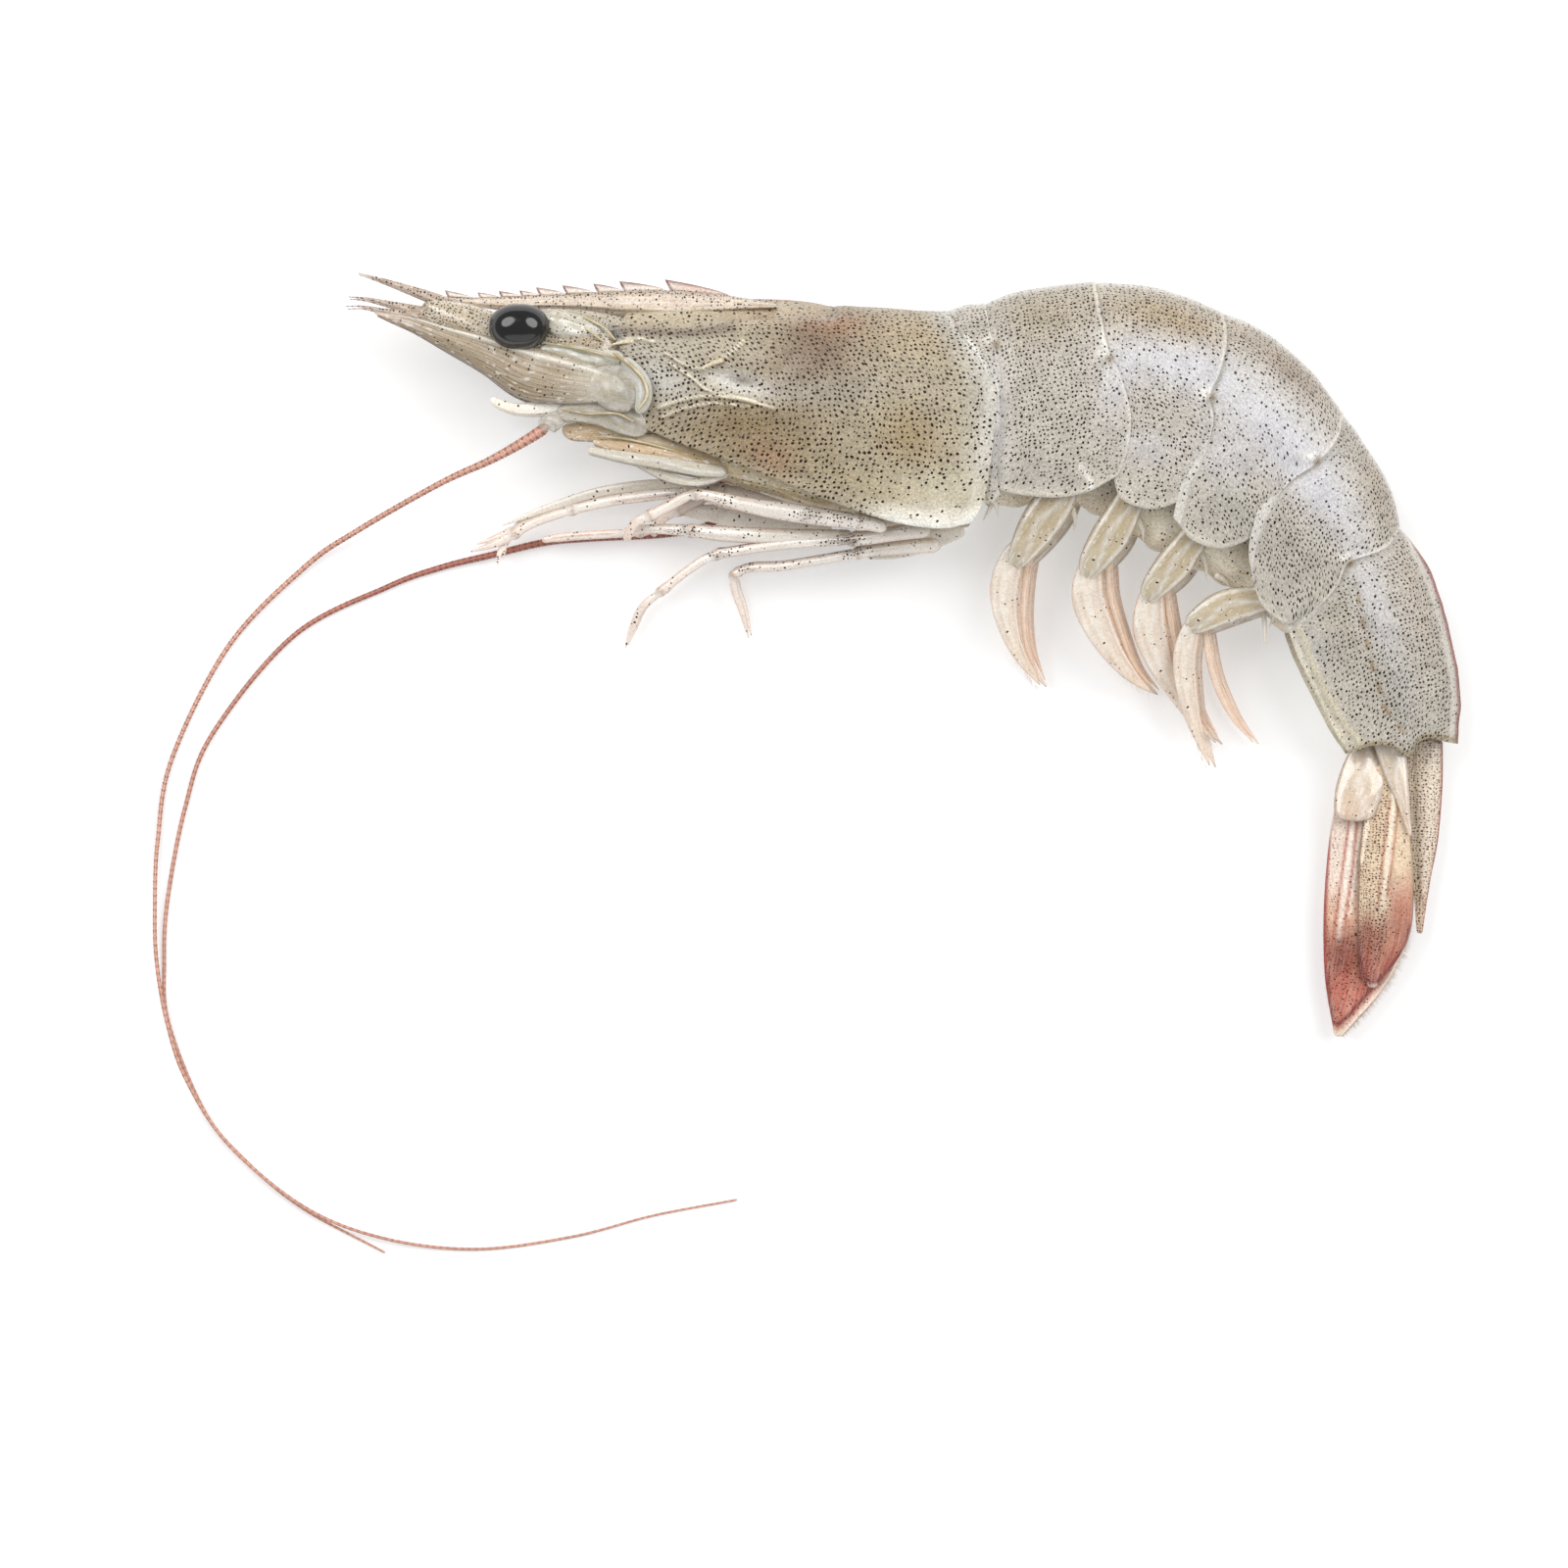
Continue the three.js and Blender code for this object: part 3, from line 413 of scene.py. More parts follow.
def wet_finish(name, per_mm=1.45, speck=0.29, dark="#3c332b", fibre=0.0, across=4.0, fleck_and_glint=0.0, glint=0.0,
               under=0.3, depth=1.2, rough=0.3, coat=0.5, grain=0.16, bumps=0.3, value=0.88, clear=False,
               dust=0.6, shine=0.5):
    """Painted colour with specks, fibres, pale streaks and painted glints; milky below, clear on top."""
    material, tree, shader = new_finish(name)
    place = add(tree, "ShaderNodeUVMap", uv_map="surface_mm").outputs[0]
    body_place = add(tree, "ShaderNodeTexCoord").outputs["Object"]
    painted_on = add(tree, "ShaderNodeAttribute", attribute_name="tint")
    amount = add(tree, "ShaderNodeAttribute", attribute_name="specks").outputs["Fac"]
    patchy = remap(tree, noise(tree, body_place, SPECK_PATCHES, 3.0), 0.3, 0.55, 0.7, 1.1)
    amount = calc(tree, "MULTIPLY", amount, patchy)

    mottle = noise(tree, body_place, MOTTLES, 3.0)
    fine = noise(tree, place, 3.4, 3.0)
    light = remap(tree, mottle, 0.3, 0.7, value * (1 - 0.5 * grain), value * (1 + 0.5 * grain))
    light = calc(tree, "MULTIPLY", light, remap(tree, fine, 0.35, 0.65, 1 - grain, 1 + grain))
    shade = add(tree, "ShaderNodeCombineColor", {0: light, 1: light, 2: light}).outputs[0]
    ground = blend(tree, 1.0, painted_on.outputs["Color"], shade, "MULTIPLY")

    height = calc(tree, "ADD", calc(tree, "MULTIPLY", mottle, 0.6), calc(tree, "MULTIPLY", fine, 0.3))
    white = (*colour("#f4f2ee"), 1)
    # Short pale streaks: partly pale flecks of the shell, partly painted glints on its wet surface.
    if fleck_and_glint:
        sockets = {"Place": place, "Per mm": per_mm * FINER, "Size": FLECK_GLINT_SIZE,
                   "Stretch": FLECK_GLINT_STRETCH}
        lines = place_group(tree, specks, sockets)
        ground = blend(tree, calc(tree, "MULTIPLY", lines, fleck_and_glint), ground, white)
    if fibre:
        streaks = place_group(tree, fibres, {"Place": place, "Across": across})
        ground = blend(tree, calc(tree, "MULTIPLY", streaks, fibre), ground, white)
        height = calc(tree, "ADD", height, calc(tree, "MULTIPLY", streaks, 0.5))
    # Painted glints: spots of painted highlight in white where a stretched noise peaks, also raised in the
    # bump.
    if glint:
        sparks = remap(tree, noise(tree, scaled(tree, place, (0.8, 2.4, 1.0)), 1.0, 4.0), 0.59, 0.64)
        ground = blend(tree, calc(tree, "MULTIPLY", sparks, glint), ground, white)
        height = calc(tree, "ADD", height, calc(tree, "MULTIPLY", sparks, 0.8))
    pigment = (*colour(dark), 1)
    share = calc(tree, "MULTIPLY", amount, POWDER_SHARE)
    sockets = {"Place": place, "Per mm": per_mm * FINER, "Size": speck, "Share": share}
    powder = place_group(tree, specks, sockets)
    ground = blend(tree, calc(tree, "MULTIPLY", powder, dust), ground, pigment)
    dots = place_group(tree, specks, {"Place": place, "Per mm": per_mm, "Size": speck, "Share": amount})
    ground = blend(tree, dots, ground, pigment)

    bump = add(tree, "ShaderNodeBump", {"Height": height, "Strength": bumps, "Distance": BUMP_HEIGHT})
    if clear:
        join(tree, shader.inputs["Alpha"], calc(tree, "MAXIMUM", painted_on.outputs["Alpha"], dots))
    dullness = remap(tree, mottle, 0.2, 0.8, rough - 0.06, rough + 0.08)
    join_all(tree, shader, {
        "Base Color": ground, "Roughness": dullness, "Normal": bump.outputs[0], "Specular IOR Level": shine,
        "Subsurface Weight": under, "Subsurface Radius": DEPTH_BY_COLOUR, "Subsurface Scale": depth * MM,
        "Coat Weight": coat, "Coat Roughness": 0.05,
    })
    return material


SHELL = {"under": 0.1, "coat": 0.12, "shine": 0.3, "rough": 0.36, "bumps": 0.1, "value": 0.97, "dust": 0.5}
GLASS = {"under": 0.0, "rough": 0.15, "coat": 0.7, "value": 1.0, "bumps": 0.05, "grain": 0.08,
         "clear": True, "shine": 0.7, "fibre": 0.25}
BLADE = {"under": 0.0, "coat": 0.3, "bumps": 0.12, "value": 0.97}
carapace_shell = wet_finish("carapace_shell", per_mm=1.6, speck=0.26, dark="#241000", fleck_and_glint=0.3, **SHELL)
abdomen_shell = wet_finish("abdomen_shell", per_mm=1.95, speck=0.26, dark="#1e1006", fleck_and_glint=0.6, **SHELL)
tail_blade = wet_finish("tail_blade", per_mm=3.2, speck=0.28, dark="#3f1508", fibre=0.14, across=13.0,
                        glint=0.06, dust=0.4, **BLADE)
beak_glass = wet_finish("beak_glass", per_mm=2.6, speck=0.28, dark="#33201a", fibre=0.3, across=7.0,
                        **BLADE)
pale_limb = wet_finish("pale_limb", per_mm=2.8, speck=0.32, dark="#2c1408", across=14.0, glint=0.7, **GLASS)
swimmer_blade = wet_finish("swimmer_blade", per_mm=2.6, speck=0.3, dark="#4a3524", across=12.0, glint=0.4,
                           **GLASS)
head_glass = wet_finish("head_glass", per_mm=2.4, speck=0.27, dark="#33251a", across=14.0, glint=0.35,
                        **GLASS)
belly_meat = wet_finish("belly_meat", per_mm=1.6, speck=0.2, fibre=0.35, across=2.2, glint=0.6, under=0.2,
                        rough=0.2, value=1.0, bumps=0.25)
print("finishes:", [m.name for m in bpy.data.materials])

# %% [markdown]
# ## The black eye and the red antenna
# The eye is nearly black and polished, with a grid of tiny facets that only softens its highlights.
# The antenna is a reddish tube of short rings with two rows of dark dots, which its own colours give.

# %% Eye, antenna and bristle finishes
def eye_finish():
    """Black, with a faint warm bloom and a bump of tiny cells."""
    material, tree, shader = new_finish("eye")
    place = add(tree, "ShaderNodeTexCoord").outputs["Object"]
    bloom = remap(tree, noise(tree, place, 500.0), 0.35, 0.75)
    dark, haze = (*colour("#020202"), 1), (*colour("#0c0807"), 1)
    facets = add(tree, "ShaderNodeTexVoronoi", {"Vector": place, "Scale": 9000.0}).outputs["Distance"]
    bump = add(tree, "ShaderNodeBump", {"Height": facets, "Strength": 0.03, "Distance": 0.00005})
    dullness = remap(tree, noise(tree, place, 900.0), 0.2, 0.8, 0.08, 0.15)
    join_all(tree, shader, {"Base Color": blend(tree, bloom, dark, haze), "Roughness": dullness,
                            "Normal": bump.outputs[0], "Specular IOR Level": 0.8})
    return material


eye_black = eye_finish()
antenna_red = wet_finish("antenna", per_mm=3.0, speck=0.2, dark="#5c241b", under=0.15, rough=0.38, coat=0.4)
bristle = wet_finish("bristle", per_mm=3.0, speck=0.0, under=0.3, rough=0.4, coat=0.3, grain=0.02)
print("finishes now:", len(bpy.data.materials))

# %% [markdown]
# ## Camera, table and light
# The photograph looks straight down through a long lens, so the camera hangs about a metre above the
# table. Two oval soft boxes, one to each side, give the twin highlights on the eye, and a weak low one
# opens the shade under the belly. The table glows a little, which keeps the shadows pale.

# %% Camera
VIEW_CENTRE = np.array([-30.2, -44, 0.0]) + SHIFT
FRAME_WIDTH = 176.0
LENS = 200.0
SENSOR = 36.0
distance = FRAME_WIDTH * LENS / SENSOR

camera_data = bpy.data.cameras.new("camera")
camera_data.lens = LENS
camera_data.sensor_width = SENSOR
camera_data.clip_start = 0.01
camera_data.clip_end = 20.0
camera = put_object("camera", camera_data)
camera.location = ((VIEW_CENTRE + [0, 0, MID + distance]) * MM).tolist()
bpy.context.scene.camera = camera
print("the camera hangs", round(camera.location.z, 3), "m above the table")

# %% Table, room and soft boxes
TABLE_SIZE = 4.0
TABLE_GLOW = 0.4
TABLE_GREYS = (0.61, 0.63)
ROOM_LIGHT = 0.4
LAMP_DISTANCE = 0.8
LAMPS = [
    ("left_box", (-0.66, 0.56, 0.95), 4.2, (0.8, 0.6)),
    ("right_box", (0.76, 0.48, 0.95), 4.2, (0.8, 0.6)),
    ("belly_box", (0.1, -1.6, 0.7), 1.2, (1.4, 0.6)),
]


def table_finish():
    """A dull pale grey with faint clouds that glows a little."""
    material, tree, shader = new_finish("pale_table")
    place = add(tree, "ShaderNodeTexCoord").outputs["Object"]
    cloud = noise(tree, place, 3.0)
    pale, paler = ((grey, grey, grey, 1) for grey in TABLE_GREYS)
    join_all(tree, shader, {
        "Base Color": blend(tree, cloud, pale, paler), "Roughness": 0.9, "Specular IOR Level": 0.0,
        "Emission Color": (1.0, 1.0, 1.0, 1), "Emission Strength": TABLE_GLOW,
    })
    return material


def soft_box(name, direction, power, size):
    """An oval lamp at some distance from the animal, turned towards it."""
    lamp = bpy.data.lights.new(name, "AREA")
    lamp.energy = power
    lamp.shape = "ELLIPSE"
    lamp.size, lamp.size_y = size
    box = put_object(name, lamp)
    towards = np.array(direction, float)
    towards /= np.linalg.norm(towards)
    box.location = (towards * LAMP_DISTANCE).tolist()
    turn = box.location.to_track_quat("Z", "Y")
    box.rotation_euler = turn.to_euler()
    return box


half = TABLE_SIZE / 2
table_mesh = bpy.data.meshes.new("table")
table_mesh.from_pydata([(-half, -half, 0), (half, -half, 0), (half, half, 0), (-half, half, 0)], [],
                       [(0, 1, 2, 3)])
table_mesh.materials.append(table_finish())
table = put_object("table", table_mesh)

room = bpy.data.worlds.new("room")
room.use_nodes = True
room.node_tree.nodes["Background"].inputs["Color"].default_value = (1.0, 1.0, 1.0, 1)
room.node_tree.nodes["Background"].inputs["Strength"].default_value = ROOM_LIGHT
bpy.context.scene.world = room
bpy.context.scene.view_settings.view_transform = "Standard"

for lamp in LAMPS:
    soft_box(*lamp)
print("table and lights are in place")

# %% [markdown]
# ## The shell rings
# A real shrimp wears a saddle over head and chest and six rings behind it, each sliding under the one
# in front. In the side view a ring is a patch between four lines: two seams, the back and the belly.
# Points inside are blended from the four lines (a Coons patch), and an arch lifts them to both sides.
# The section is solid down to a belly floor, and below it two thin flaps hang.

# %% Measured lines of the shell
SEAMS = [
    [[-12.1, 9], [-10.7, 6.4], [-8.4, 3.2], [-7, -0.3], [-7.2, -4.4], [-7.7, -8.8], [-8.4, -12.5],
     [-9.8, -15]],
    [[-7.9, 9.9], [-7.3, 6.1], [-6.3, 2.4], [-6.1, -2.2], [-6.5, -6.8], [-6.5, -10.8], [-5.6, -13.4]],
    [[4.1, 12.3], [4.7, 8.3], [5.4, 4.6], [6.9, 0.9], [7.9, -3.3], [7.5, -7.2], [6.5, -9.9]],
    [[18.4, 9.1], [18.7, 5.8], [17.9, 2], [16.9, -0.7], [17.3, -3.6], [16.4, -7.2], [14.9, -10.8],
     [13.9, -15.1]],
    [[32.1, -1.9], [31.1, -5.1], [28.9, -7.9], [26.1, -10.1], [24.1, -12.8], [22.9, -15.7], [22.2, -18.9],
     [22.4, -22]],
    [[38.9, -14.6], [36.9, -17.2], [32.8, -19], [31.5, -21.5], [29.6, -23.9], [27.7, -25.5], [26.1, -26.4]],
    [[45.1, -39.4], [42.6, -38.9], [41, -39.3], [39.8, -40.9], [38, -39.7], [35.8, -39.7], [33.3, -40.6]],
]
HALF_WIDTHS = [7.8, 7.6, 7.5, 7.2, 6.6, 5.6, 3.8]
AXIS_HEIGHTS = [7.5, 7.35, 7.25, 6.95, 6.35, 5.35, 3.6]
RING_LINES = [
    {"back": [[-9.9, 9.7]], "belly": [[-7.1, -12.6]], "reach": [0.84, 0.93], "floor": 0.8,
     "start": -0.3, "stop": 1.06, "tuck": 0.45},
    {"back": [[-4.9, 11], [-1.6, 11.7], [1.2, 12.1]], "belly": [[-3.3, -11.8], [0.6, -12], [3.9, -11.3]],
     "reach": [0.9, 1], "floor": 0.78},
    {"back": [[7.7, 12.2], [11.6, 11.7], [15.1, 10.7]],
     "belly": [[7.5, -12.2], [10.5, -13.3], [13.2, -12.7]], "reach": [1, 0.85], "floor": 0.78},
    {"back": [[21.7, 7.9], [25, 5.9], [28.6, 2.9], [30.6, 0.4]],
     "belly": [[15.5, -16.8], [18.5, -17.7], [21.2, -16.9]], "reach": [1, 0.72], "floor": 0.78},
    {"back": [[34.1, -4.4], [36.1, -7.4], [37.7, -10.2], [38.6, -12.4]],
     "belly": [[23.2, -23.9], [24.8, -25.4], [26.3, -26.1]], "reach": [1, 0.9], "floor": 0.78},
    {"back": [[40.9, -17.9], [42.7, -21.9], [44.1, -26.4], [45.2, -31.4], [45.5, -35.2]],
     "belly": [[27.5, -29.9], [29.6, -34.2], [31.5, -37.8]], "reach": [1, 1], "floor": 0.93,
     "stop": 1.0},
]
CARAPACE = {
    "front": [[-47.6, 9.2], [-49.2, 6.8], [-48.5, 4.6], [-46.5, 2.2], [-45.4, -0.2], [-45.9, -2.4],
              [-46, -4.2]],
    "rear": SEAMS[0],
    "back": [[-41.3, 9.8], [-34.6, 10.1], [-28, 10], [-21.5, 9.6], [-16, 9.2]],
    "belly": [[-41.3, -6.2], [-34.7, -8.6], [-28, -11.3], [-22.5, -13.4], [-17, -15], [-12.7, -15.5]],
    "reach": [1, 1], "floor": 0.74,
    "half_widths": [4.2, 6.2, 7.6, 8.2, 8.1, 7.8],
    "axis": [MID, MID, MID, MID, 7.55, 7.5],
    "start": 0.0, "stop": 1.012, "tuck": 0.0,
}
rings = [{"front": SEAMS[i], "rear": SEAMS[i + 1], "half_widths": HALF_WIDTHS[i:i + 2],
          "axis": AXIS_HEIGHTS[i:i + 2], "start": -0.1, "stop": 1.045, "tuck": 0.22, **lines}
         for i, lines in enumerate(RING_LINES)]
print("rings:", len(rings))

# %% Shell surface
FLAP = 0.9
LIP = 0.1
SHELL_GAP = 0.03


def arch(t):
    """How far the flank stands out: a quarter oval to the widest line, then drawn in a little."""
    upper = np.sqrt(np.clip(1 - (1 - 2 * t) ** 2, 0, 1))
    return np.where(t < 0.5, upper, 1 - 0.2 * (2 * t - 1) ** 2)


def patch(shell, u, t):
    """Side-view points at shares u from front to rear and t from back to belly, blended from four lines."""
    front, rear, reach = shell["front"], shell["rear"], shell["reach"]
    front_line, rear_line = along(front, t * reach[0]), along(rear, t * reach[1])
    corners = [along(front, 0.0), along(rear, 0.0), along(front, reach[0]), along(rear, reach[1])]
    back = [corners[0], *shell["back"], corners[1]]
    belly = [corners[2], *shell["belly"], corners[3]]

    def blended(share):
        s, down = share[..., None], t[..., None]
        edges = front_line * (1 - s) + rear_line * s
        edges = edges + along(back, share) * (1 - down) + along(belly, share) * down
        top = corners[0] * (1 - s) + corners[1] * s
        bottom = corners[2] * (1 - s) + corners[3] * s
        return edges - top * (1 - down) - bottom * down

    inside = np.clip(u, 0, 1)
    edge = np.where(u < 0.5, 0.0, 1.0)
    outward = (blended(edge) - blended(abs(edge - 0.04))) / 0.04
    return blended(inside) + abs(u - inside)[..., None] * outward


def shell_grid(shell, steps, around, relief):
    """The arched outer sheet with its relief, as a grid, and what the paint needs to know about it."""
    u = np.linspace(shell["start"], shell["stop"], steps)[:, None]
    s = np.linspace(-1, 1, around)[None, :]
    t = np.where(abs(s) < 0.5, 0.5 - 0.5 * np.cos(np.pi * abs(s)), abs(s))
    xy = patch(shell, u, t)
    axis, half = between(shell["axis"], u), between(shell["half_widths"], u)
    grid = np.dstack([xy, axis - np.sign(s) * half * arch(t)])
    normal = surface_normals(grid, wrap=False)
    middle = grid.mean(axis=1, keepdims=True)
    normal *= np.sign((normal * (grid - middle)).sum())
    step = LIP * ramp(u, 0.9, 1.0) - shell["tuck"] * (1 - ramp(u, 0.0, 0.1))
    grid = grid + normal * (step + relief(xy, u, t))[..., None]
    grid[..., 2] = np.maximum(grid[..., 2], SHELL_GAP)
    return grid, xy, u, t


def section_loop(grid, t, floor):
    """Adds the inner faces of the two flaps to each outer row, so that each row is a closed loop."""
    count = int((t[0, :grid.shape[1] // 2] >= floor).sum())
    wall = FLAP * (1 - 0.75 * ramp(t[0, :count], 0.88, 1.0))
    left, right = grid[:, :count].copy(), grid[:, ::-1][:, :count].copy()
    left[..., 2] -= wall
    right[..., 2] += wall
    return np.concatenate([grid, right, left[:, ::-1]], axis=1), count


def end_faces(columns, count, first):
    """Faces that close a section loop: across above the belly floor, and in two strips at the flaps."""
    inner_right = columns + np.arange(count)
    inner_left = columns + 2 * count - 1 - np.arange(count)
    j = np.arange(count, columns // 2 - 1)
    across = np.stack([j + 1, j, columns - 1 - j, columns - 2 - j], -1)
    top = columns // 2
    peak = np.array([[top, top - 1, top + 1]])
    k = count
    step = np.array([[k, k - 1, inner_left[k - 1], inner_right[k - 1], columns - k, columns - 1 - k]])
    j = np.arange(count - 1)
    left = np.stack([j + 1, j, inner_left[j], inner_left[j + 1]], -1)
    right = np.stack([columns - 1 - j, columns - 2 - j, inner_right[j + 1], inner_right[j]], -1)
    faces = [across, peak, step, left, right]
    return faces if first else [face[:, ::-1] for face in faces]


def shell_piece(name, shell, steps, around, relief, paint, material):
    """A closed shell ring with painted colours, over the solid of the same name."""
    grid, xy, u, t = shell_grid(shell, steps, around, relief)
    tint, amount = paint(xy, u, t)
    loops, count = section_loop(grid, t, shell["floor"])
    order = np.concatenate([np.arange(around), around - 1 - np.arange(count), np.arange(count)[::-1]])
    total = loops.shape[1]
    faces = [grid_faces(steps, total, True)]
    for first, base in ((True, 0), (False, (steps - 1) * total)):
        faces += [face + base for face in end_faces(around, count, first)]
    lengthwise = np.cumsum(np.linalg.norm(np.diff(grid, axis=0, prepend=grid[:1]), axis=-1), axis=0)
    round_it = np.cumsum(np.linalg.norm(np.diff(grid, axis=1, prepend=grid[:, :1]), axis=-1), axis=1)
    middle = around // 2
    place = np.dstack([lengthwise - lengthwise[steps // 2], round_it - round_it[:, middle:middle + 1]])
    place = place[:, order].reshape(-1, 2)
    fields = {"tint": with_alpha(tint[:, order].reshape(-1, 3)), "specks": amount[:, order].reshape(-1, 1)}
    piece = put_mesh(name + "_shell", loops.reshape(-1, 3), faces, [place[face] for face in faces], fields)
    return finish_piece(piece, material, name)


print("shell surfaces are ready")

# %% [markdown]
# ## Carapace
# The saddle carries the marks that tell this family of shrimps: a groove beside the crest, a sharp
# spine behind the cheek with a fold leading to it, a pale double line below, a glassy hollow between
# them, and a thick pale rim. They are ridges and grooves drawn in the side view, and the same lines
# guide the colours.

# %% Carapace relief
FOLDS = [
    ([[-44.3, -1.9], [-41.2, -1], [-38, -0.7], [-33.3, -1.3]], 0.14, 0.1),
    ([[-43.9, -3], [-41.2, -2], [-38, -1.5], [-34.1, -1.9]], 0.1, 0.05),
    ([[-34.6, 5.5], [-36.6, 3.7], [-39.3, 2.4]], 0.14, 0.1),
    ([[-43.5, 4.2], [-41.2, 2.8], [-39.3, 2.2]], 0.11, 0.07),
    ([[-43.1, 3.1], [-40.7, 1.5], [-38.8, 0], [-36, -0.7], [-31.1, -2.2]], 0.12, 0.08),
    ([[-49.3, 5.2], [-47.3, 5.9], [-44.8, 5.5]], 0.12, 0.1),
    ([[-49.3, 4.2], [-47.3, 2.8], [-45.8, 1.1], [-45.4, -0.4], [-46.2, -2.2]], 0.16, 0.14),
]
GROOVES = [
    ([[-52.2, 8.6], [-46.8, 7.6], [-41.2, 7.9], [-34.6, 8.6], [-24.8, 9.1]], 0.8, 0.45),
    ([[-31.1, 1.8], [-28.1, 5.3], [-25.2, 8.6]], 1.1, 0.28),
    ([[-42.4, -6.8], [-34.6, -8.1], [-23.6, -11.3], [-13.8, -13.9]], 0.5, 0.16),
    ([[-43.9, -4.4], [-39, -5.2], [-31.4, -4.4]], 1.4, 0.2),
    ([[-31.4, -0.6], [-23.6, -0.2], [-15.9, 0.9]], 1.6, 0.14),
]
SADDLE_PATCHES = [
    (-14.8, 6.6, 9.0, 3.4, 0, "#c3af8f", 0.7), (-33, 8.6, 5.0, 1.0, -4, "#cdb79b", 0.6),
    (-26.9, 4.4, 6.6, 5.2, 60, "#8d7560", 0.9), (-24.5, 7.4, 3.2, 1.3, 0, "#b68666", 0.6),
    (-34.1, -4.6, 9.5, 4.6, -12, "#9b845f", 0.9), (-31.4, -7.7, 3.0, 1.6, -20, "#b47f60", 0.45),
    (-16.2, -6, 3.4, 4.6, 20, "#a88b59", 0.65), (-25.9, -0.2, 7.0, 1.6, 0, "#b9b3a8", 0.5),
]
CORNER_PATCHES = [
    (-13.2, -11, 6.0, 3.0, -8, "#c9c1aa", 0.8), (-22.6, -10.1, 6.0, 1.6, -18, "#b3a482", 0.6),
]
SADDLE_SHADE = 0.24
HOLLOW = (-35.5, 0.8, 3.9, 1.25, -14)


def carapace_relief(xy, u, t):
    """Folds stand up, grooves and the hollow sink in, and a bead runs along the rim and the rear edge."""
    rise = raised(xy, FOLDS)
    rise = rise + sum(near(xy, line, 5 * width) * 0.5 * height for line, width, height in FOLDS[:5])
    rise = rise - raised(xy, GROOVES)
    rise = rise - 0.75 * spot(xy, *HOLLOW)
    rim = bell(t, 0.955, 0.035) * ramp(u, 0.5, 0.75)
    rear = bell(u, 1.0, 0.006) - bell(u, 0.975, 0.012)
    crest = bell(t, 0, 0.004) * (1 - ramp(u, 0.35, 0.75))
    waves = np.sin(xy[..., 0] * 0.55 + 2 * np.sin(xy[..., 1] * 0.4)) * np.cos(xy[..., 1] * 0.6)
    return rise + 0.16 * rim + 0.03 * rear + 0.4 * crest + 0.05 * waves


def carapace_paint(xy, u, t):
    """Olive beige with a violet patch, a pale rim and pale folds, and a darker ground under the specks."""
    rim = ramp(t, 0.93 - 0.08 * ramp(u, 0.6, 0.9), 1.0) * ramp(u, 0.62, 0.8)
    rear = ramp(u + 0.02 * ramp(t, 0.2, 0.9), 0.975, 0.995)
    cheek = spot(xy, -44.2, 1.3, 4.4, 2.3, -25)
    hollow = spot(xy, *HOLLOW)
    folds = sum(near(xy, line, width * 0.8) for line, width, _ in FOLDS)
    shadows = sum(near(np.array(xy) + [0, 0.34], line, 0.16) for line, _, _ in FOLDS)
    crest = (1 - ramp(t, 0.0005, 0.003)) * (1 - ramp(u, 0.5, 0.9))
    tint = painted(
        xy.shape[:2], "#c0b49b",
        *patches(xy, SADDLE_PATCHES),
        (0.75 * ramp(u, 0.89, 0.99) * (1 - ramp(t, 0.7, 0.9)), "#cfcbc1"),
        *patches(xy, CORNER_PATCHES),
        (0.9 * cheek, "#dcd8d0"),
        (0.5 * near(xy, GROOVES[0][0], 1.0), "#b9a890"),
        (0.8 * near(xy, [[-47.9, 6.8], [-41.2, 6.4], [-36.3, 6.8]], 0.75), "#85776a"),
        (0.3 * rear, "#dcd9d1"),
        (0.9 * rim, "#f4f1e8"),
        (0.9 * hollow, "#ebe9e3"),
        (0.9 * spot(xy, -35, 0.9, 1.5, 0.7, -14), "#857d72"),
        (0.6 * shadows, "#6e5c3c"),
        (0.9 * folds, "#efe7cf"),
        (0.85 * spot(xy, -49.2, 6.3, 1.3, 0.9, -20), "#4d5156"),
        (0.9 * crest, "#8a4a3a"),
    )
    amount = 1 - 0.97 * np.clip(rim + 0.4 * rear, 0, 1)
    amount = amount * (1 - 0.75 * spot(xy, -13.8, -12.3, 7.5, 2.6, -8))
    amount = amount * (1 - 0.6 * spot(xy, -9.3, -8.2, 2.0, 4.0))
    amount = amount * (1 - 0.8 * np.clip(hollow + folds, 0, 1)) * (1 - 0.85 * crest)
    amount = amount * (1 - 0.6 * near(xy, [[-52.2, 9], [-41.2, 8.6], [-26.9, 9.7]], 1.8))
    return tint * (1 - SADDLE_SHADE * amount[..., None]), amount


shell_piece("carapace", CARAPACE, 220, 161, carapace_relief, carapace_paint, carapace_shell)

# %% [markdown]
# ## Tail rings
# The six rings share one relief: a smooth facet at the front that slides under the ring before, a
# faint bead along the rear edge and a round joint knob at the middle of each seam. The last ring adds
# a sharp keel along the back and a double ridge along its lower edge. A pale blue sheen lies along
# the widest line, partly a painted highlight of the soft light and partly the paler flesh below, and
# warm tan patches lie near the back. Beside each knob lie small spots of painted highlight, and at the
# front of each ring a thin line of painted shade where it slides under the ring before.

# %% Ring relief and colours
KNOBS = [(-7, 5.3), (5.6, 3.7), (17.1, -0.7), (28.9, -7.7), (32.7, -19)]
TAN_PATCHES = [
    (-1, 8.2, 5.4, 3.6, 0, "#b4a68f", 0.8), (12.4, 8.1, 6.6, 2.4, -14, "#bca786", 0.85),
    (15.1, 6.8, 3.0, 1.6, -20, "#b59f7b", 0.6),
    (26.1, 2.4, 7.0, 1.7, -40, "#a89580", 0.8), (36.3, -11, 5.6, 1.7, -68, "#b0a08a", 0.65),
    (41, -24.2, 9.0, 2.0, -78, "#c3b5a6", 0.6), (30.2, -13.2, 4.0, 2.0, -50, "#aaa59b", 0.5),
    (32.7, -26.4, 3.4, 1.3, -60, "#b0a692", 0.4),
]
